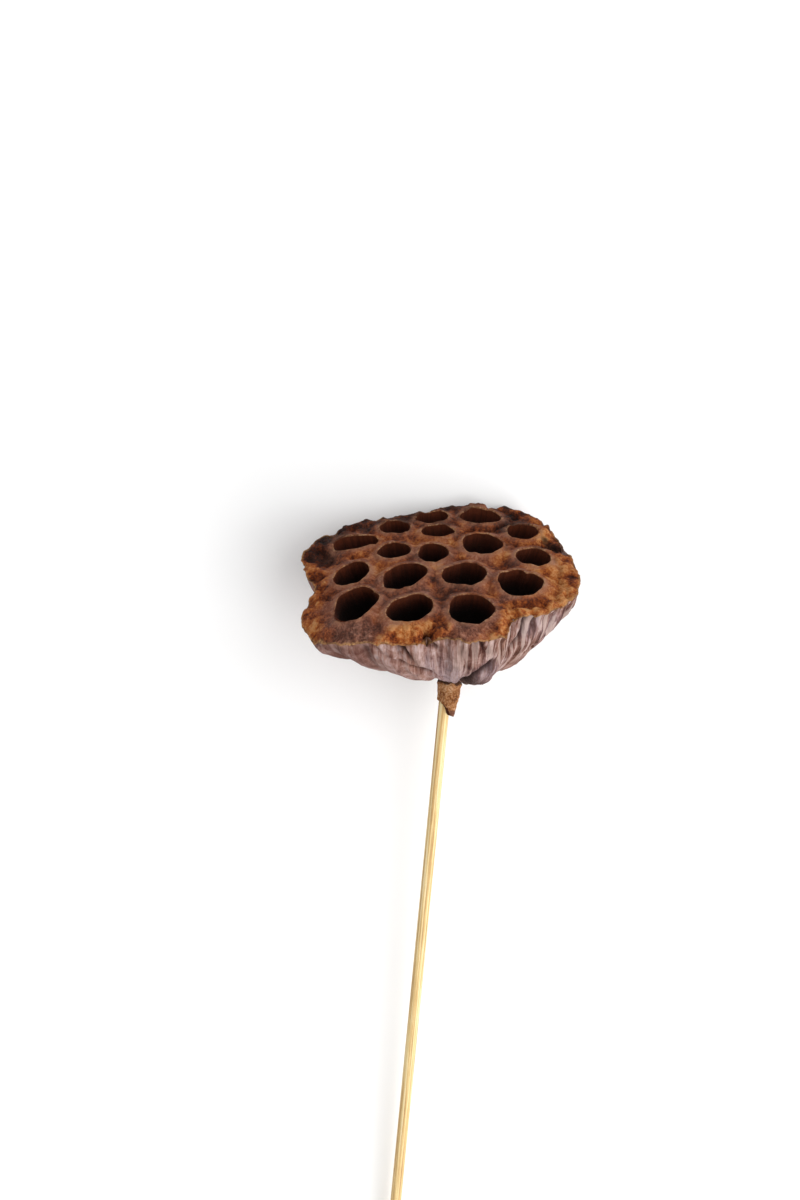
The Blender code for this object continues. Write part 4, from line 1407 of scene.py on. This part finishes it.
def face_colour(tree, effects):
    clouds, grit = effects["Clouds"], effects["Grit"]
    crack, beside = mask_of(tree, "crack"), mask_of(tree, "beside")
    tone = mask_of(tree, "warm") * 0.6 + clouds * 0.22 + grit * 0.3 + effects["Bands"] * 0.16
    # The relief makes raised cork lighter and low cork darker: painted highlight and painted shade.
    cork = shades(tone + mask_of(tree, "relief") * 0.42 - 0.12, CORK)
    leather = shades(clouds * 0.55 + effects["Hairs"] * 0.4, LEATHER)
    smooth = mask_of(tree, "halo") * between(grit, 0.0, 1.0, 0.3, 0.85)
    collar = between(beside, 0.1, 0.6) * between(beside, 2.3, 1.0)
    collar = collar * between(clouds, 0.2, 0.8, 0.2, 0.6)
    skin = tinted(mixed(tree, smooth, cork, leather), (collar, "a8745a"))
    edge = mask_of(tree, "lip") * between(clouds, 0.2, 0.8, 0.1, 0.8)
    # Cracks get a painted shade, and the deep pit a near-black painted shade.
    painted_shade = between(crack, 0.2, 1.0) * between(clouds, 0.0, 0.8, 0.25, 0.85)
    pit_shade = between(crack, 1.1, 1.7, 0.0, 0.95)
    return tinted(mixed(tree, edge, skin, shades(grit, LIPS_AND_HIGHLIGHT)), (painted_shade, "2c1209"), (pit_shade, "100503"))


# %% Colours of the flank and the stalk
BLOOM = ((0.0, "381a14"), (0.24, "6c4136"), (0.48, "a57a6d"), (0.68, "c6a59f"), (1.0, "f0e4e8"))
CORK_STALK = ((0.0, "5a2f19"), (0.35, "9a6035"), (0.65, "c08657"), (1.0, "e6bf98"))


def flank_colour(tree, effects):
    bands, hairs = effects["Bands"], effects["Hairs"]
    masks = ("warm", "fold", "lilac", "pleated")
    warm, fold, lilac, pleated = (mask_of(tree, name) for name in masks)
    calm = mask_of(tree, "halo") * 0.8
    streaks = put(tree, "ShaderNodeMix", {0: calm, 2: bands * 0.4 + hairs * 0.6, 3: 0.45})
    # The relief makes raised skin lighter and low skin darker: painted highlight and painted shade.
    tone = streaks * 0.48 + effects["Clouds"] * 0.36 + mask_of(tree, "relief") * 0.4 + warm * 0.12
    grained = between(hairs, 0.1, 0.9, 0.35, 1.0)
    return tinted(
        shades(tone, BLOOM),
        (between(warm, 0.45, 0.95, 0.0, 0.6), "a26f54"),
        # Ridges get a painted highlight.
        (between(fold, 0.1, -1.2, 0.0, 0.4) * hairs, "dcc6c6"),
        # Lilac patches are painted highlights, and brown ones partly painted shade on the left.
        (between(lilac, 0.05, 1.0, 0.0, 0.75) * grained, "b9a5ae"),
        (between(lilac, -0.05, -1.0, 0.0, 0.9) * grained, "6e463c"),
        # Pale and dark stripes on the pleats: painted highlight and painted shade.
        (between(bands, 0.3, 0.1, 0.0, 0.7) * pleated, "44241d"),
        (between(bands, 0.42, 0.8, 0.0, 0.62) * pleated, "e2cac0"),
        # Folds get a painted shade, darker in the deep ones.
        (between(fold, 0.5, 2.4, 0.0, 0.88), "3c1f1c"),
        (between(fold, 1.9, 3.8, 0.0, 0.85), "170a08"),
    )


def stalk_colour(tree, effects):
    cork = shades(effects["Grit"] * 0.6 + effects["Clouds"] * 0.4, CORK_STALK)
    torn = between(mask_of(tree, "torn"), 4.0, 4.5, 0.0, 0.85)
    return tinted(cork, (effects["Specks"] * 0.35, "d9bc9d"), (torn, "74473b"))


# %% Colour of the whole pod
# The cells' walls go from red-brown at the mouth to black at the bottom: painted shade that deepens with
# depth.
WALLS_SHADED_BY_DEPTH = ((0.0, "6e3219"), (0.12, "4e2010"), (0.3, "2e1108"), (0.5, "150604"), (1.0, "050201"))


def whole_pod_colour(tree, effects):
    """Face and flank, then the torn crest, the stalk, the dark seat with a painted shadow, and the cells
    over them.
    """
    cell = mask_of(tree, "cell")
    below_crest = between(mask_of(tree, "flank"), 0.3, 0.6)
    skin = mixed(tree, below_crest, face_colour(tree, effects), flank_colour(tree, effects))
    # The torn crest is painted pale as highlight at the front and right, and dark as shade at the back.
    sunny = between(mask_of(tree, "sunny"), 0.15, 0.6)
    crest = mixed(tree, sunny, colour("3f2317"), colour("cc9a66"))
    edge = mask_of(tree, "crest") * between(effects["Grit"], 0.2, 0.8, 0.45, 1.0)
    # The crest's painted highlight is kept out of the cracks.
    whole = worked_out(tree, "SUBTRACT", 1.0, mask_of(tree, "crack"))
    skin = mixed(tree, edge * whole, skin, crest)
    on_stalk = between(mask_of(tree, "stalk"), 0.0, 0.04)
    skin = mixed(tree, on_stalk, skin, stalk_colour(tree, effects))
    # The dark seat at the stalk's root, and the painted shadow under the right lobe.
    skin = tinted(skin, (between(mask_of(tree, "seat"), 0.1, 0.9, 0.0, 0.9), "30150d"))
    streak = between(effects["Bands"], 0.0, 1.0, 0.7, 1.1)
    shaded_walls = mixed(tree, 1.0, shades(cell, WALLS_SHADED_BY_DEPTH), streak, mode="MULTIPLY")
    return mixed(tree, between(cell, 0.0, 0.03), skin, shaded_walls)


# %% Put the pod's finish together
def put_together(shader, skin, rough, height, strength, distance):
    """Joins a colour, a roughness and a height for the bump to a material's shader."""
    bump = {"Height": height, "Strength": strength, "Distance": distance}
    normal = put(skin.tree, "ShaderNodeBump", bump)
    for name, value in (("Base Color", skin), ("Roughness", rough), ("Normal", normal)):
        fill(skin.tree, shader.inputs[name], value)


def dress_pod(piece):
    material, tree, shader = new_material("dried_skin")
    effects = effects_in(tree, size=4.5, grit_size=0.8, width=1.5, waver=0.5)
    grit, skin = effects["Grit"], whole_pod_colour(tree, effects)
    # Raised relief gets a paler tone: a painted highlight.
    relief_highlight = between(mask_of(tree, "relief"), -0.2, 0.5)
    dust = {"Dust": colour("b08c70"), "Amount": 0.08, "Raised": relief_highlight, "Grit": grit}
    skin = use(tree, dusting, Colour=skin, **dust)["Colour"]
    rough = between(grit, 0.0, 1.0, 0.62, 0.86) + mask_of(tree, "halo") * -0.16
    upright = effects["Bands"] * mask_of(tree, "pleated")
    put_together(shader, skin, rough, grit + effects["Hairs"] * 0.9 + upright * 1.6, 0.8, 0.4 * MM)
    shader.inputs["Specular IOR Level"].default_value = 0.15
    piece.data.materials.append(material)
    return material


pod_finish = dress_pod(seed_head)
print("pod finish:", len(pod_finish.node_tree.nodes), "nodes")

# %% [markdown]
# ## The reed's finish
#
# Straw is pale and a little shiny, because its skin is hard. Fibre lines give it light and tan
# stripes, and a slow change of tone along its length keeps it from looking like plastic. The cut
# ends are darker and full of pores.

# %% Put the reed's finish together
STRAW = ((0.0, "9c7040"), (0.34, "d2aa6c"), (0.6, "ecd295"), (1.0, "f6e8c2"))
PITH = ((0.0, "6b4a2c"), (0.5, "b48e5e"), (1.0, "dcc091"))


def dress_reed(piece):
    material, tree, shader = new_material("straw")
    effects = effects_in(tree, size=16.0, grit_size=0.35, width=0.85, waver=0.05)
    clouds, grit, hairs = effects["Clouds"], effects["Grit"], effects["Hairs"]
    straw = shades(effects["Bands"] * 0.6 + hairs * 0.3 + clouds * 0.12, STRAW)
    skin = mixed(tree, mask_of(tree, "cut"), straw, shades(grit, PITH))
    dust = {"Dust": colour("a9804f"), "Amount": 0.2, "Raised": clouds, "Grit": grit}
    skin = use(tree, dusting, Colour=skin, **dust)["Colour"]
    put_together(shader, skin, between(hairs, 0.0, 1.0, 0.42, 0.6), hairs, 0.4, 0.2 * MM)
    piece.data.materials.append(material)
    return material


reed_finish = dress_reed(reed_stick)
print("reed finish:", len(reed_finish.node_tree.nodes), "nodes")

# %% [markdown]
# ## Tie each piece to its solid
#
# Each piece rides on the part's one body and takes the place of its solid.

# %% Tie the pieces to the frame
for piece, solid, slot in ((seed_head, "pod", "dried_pod"), (reed_stick, "reed", "reed")):
    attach(piece, "root")
    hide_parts(solid)
    print(piece.name, "stands for", solid)

# %% [markdown]
# ## Floor, light and camera
#
# The pod lies on a plain pale floor, and the camera looks straight down on it, which gives the
# same view of the face as a pod that is held upright in front of a lens. The light is soft: a
# white room, a wide lamp at the right, a smaller one nearer to the reed's end and a faint one at
# the left, so that the relief of the crust shows.

# %% Lay the floor
FLOOR_DROP = 0.0004
FLOOR_HALF = 6.0
FLOOR_COLOUR = (0.97, 0.97, 0.97, 1.0)


def make_floor():
    data = bpy.data.meshes.new("floor")
    signs = ((-1, -1), (1, -1), (1, 1), (-1, 1))
    corners = [(x * FLOOR_HALF, y * FLOOR_HALF, -FLOOR_DROP) for x, y in signs]
    data.from_pydata(corners, [], [(0, 1, 2, 3)])
    floor = bpy.data.objects.new("floor", data)
    bpy.context.scene.collection.objects.link(floor)
    material, _, shader = new_material("pale_floor")
    shader.inputs["Base Color"].default_value = FLOOR_COLOUR
    shader.inputs["Roughness"].default_value = 0.95
    shader.inputs["Specular IOR Level"].default_value = 0.1
    data.materials.append(material)
    floor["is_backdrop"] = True


make_floor()
print("floor:", 2.0 * FLOOR_HALF, "m wide")

# %% Hang the lights
# Each light: its place, its width and its power.
LIGHTS = (
    ((1.05, -0.05, 1.15), 1.9, 19.5), ((-0.9, 0.6, 1.5), 1.4, 1.0), ((0.9, -0.8, 1.1), 1.0, 11.0),
)
LIGHTS_AIM = Vector((0.0, 0.13, 0.03))
ROOM_COLOUR = (1.0, 1.0, 1.0, 1.0)
ROOM_STRENGTH = 0.58

for number, (place, width, power) in enumerate(LIGHTS):
    lamp = bpy.data.lights.new(f"soft_light_{number}", "AREA")
    lamp.size = width
    lamp.energy = power
    light = bpy.data.objects.new(lamp.name, lamp)
    light.location = place
    light.rotation_euler = (LIGHTS_AIM - Vector(place)).to_track_quat("-Z", "Y").to_euler()
    bpy.context.scene.collection.objects.link(light)
world = bpy.data.worlds.new("white_room")
world.use_nodes = True
sky = world.node_tree.nodes["Background"].inputs
sky["Color"].default_value = ROOM_COLOUR
sky["Strength"].default_value = ROOM_STRENGTH
bpy.context.scene.world = world
bpy.context.scene.view_settings.view_transform = "Standard"
print("lights:", len(LIGHTS))

# %% Set up the camera
CAMERA_AT = (-0.01465, 0.13327, 1.06385)
SENSOR_HEIGHT = 36.0
LENS_LENGTH = 85.0

lens = bpy.data.cameras.new("camera")
lens.sensor_fit = "VERTICAL"
lens.sensor_height = SENSOR_HEIGHT
lens.lens = LENS_LENGTH
camera = bpy.data.objects.new("camera", lens)
camera.location = CAMERA_AT
bpy.context.scene.collection.objects.link(camera)
bpy.context.scene.camera = camera
print("camera height over the floor:", CAMERA_AT[2], "m")

# %% [markdown]
# ## Print the size and finish
#
# The dressed pod is meant to stay inside the box of the solids, so both boxes are printed side by
# side, where they can be compared.

# %% Write both boxes and finish
visual_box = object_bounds()
for name, solid, dressed in zip(("lowest", "highest"), cad_box, visual_box):
    for title, corner in (("solid", solid), ("dressed", dressed)):
        print(name, title, [round(value / MM, 2) for value in corner])
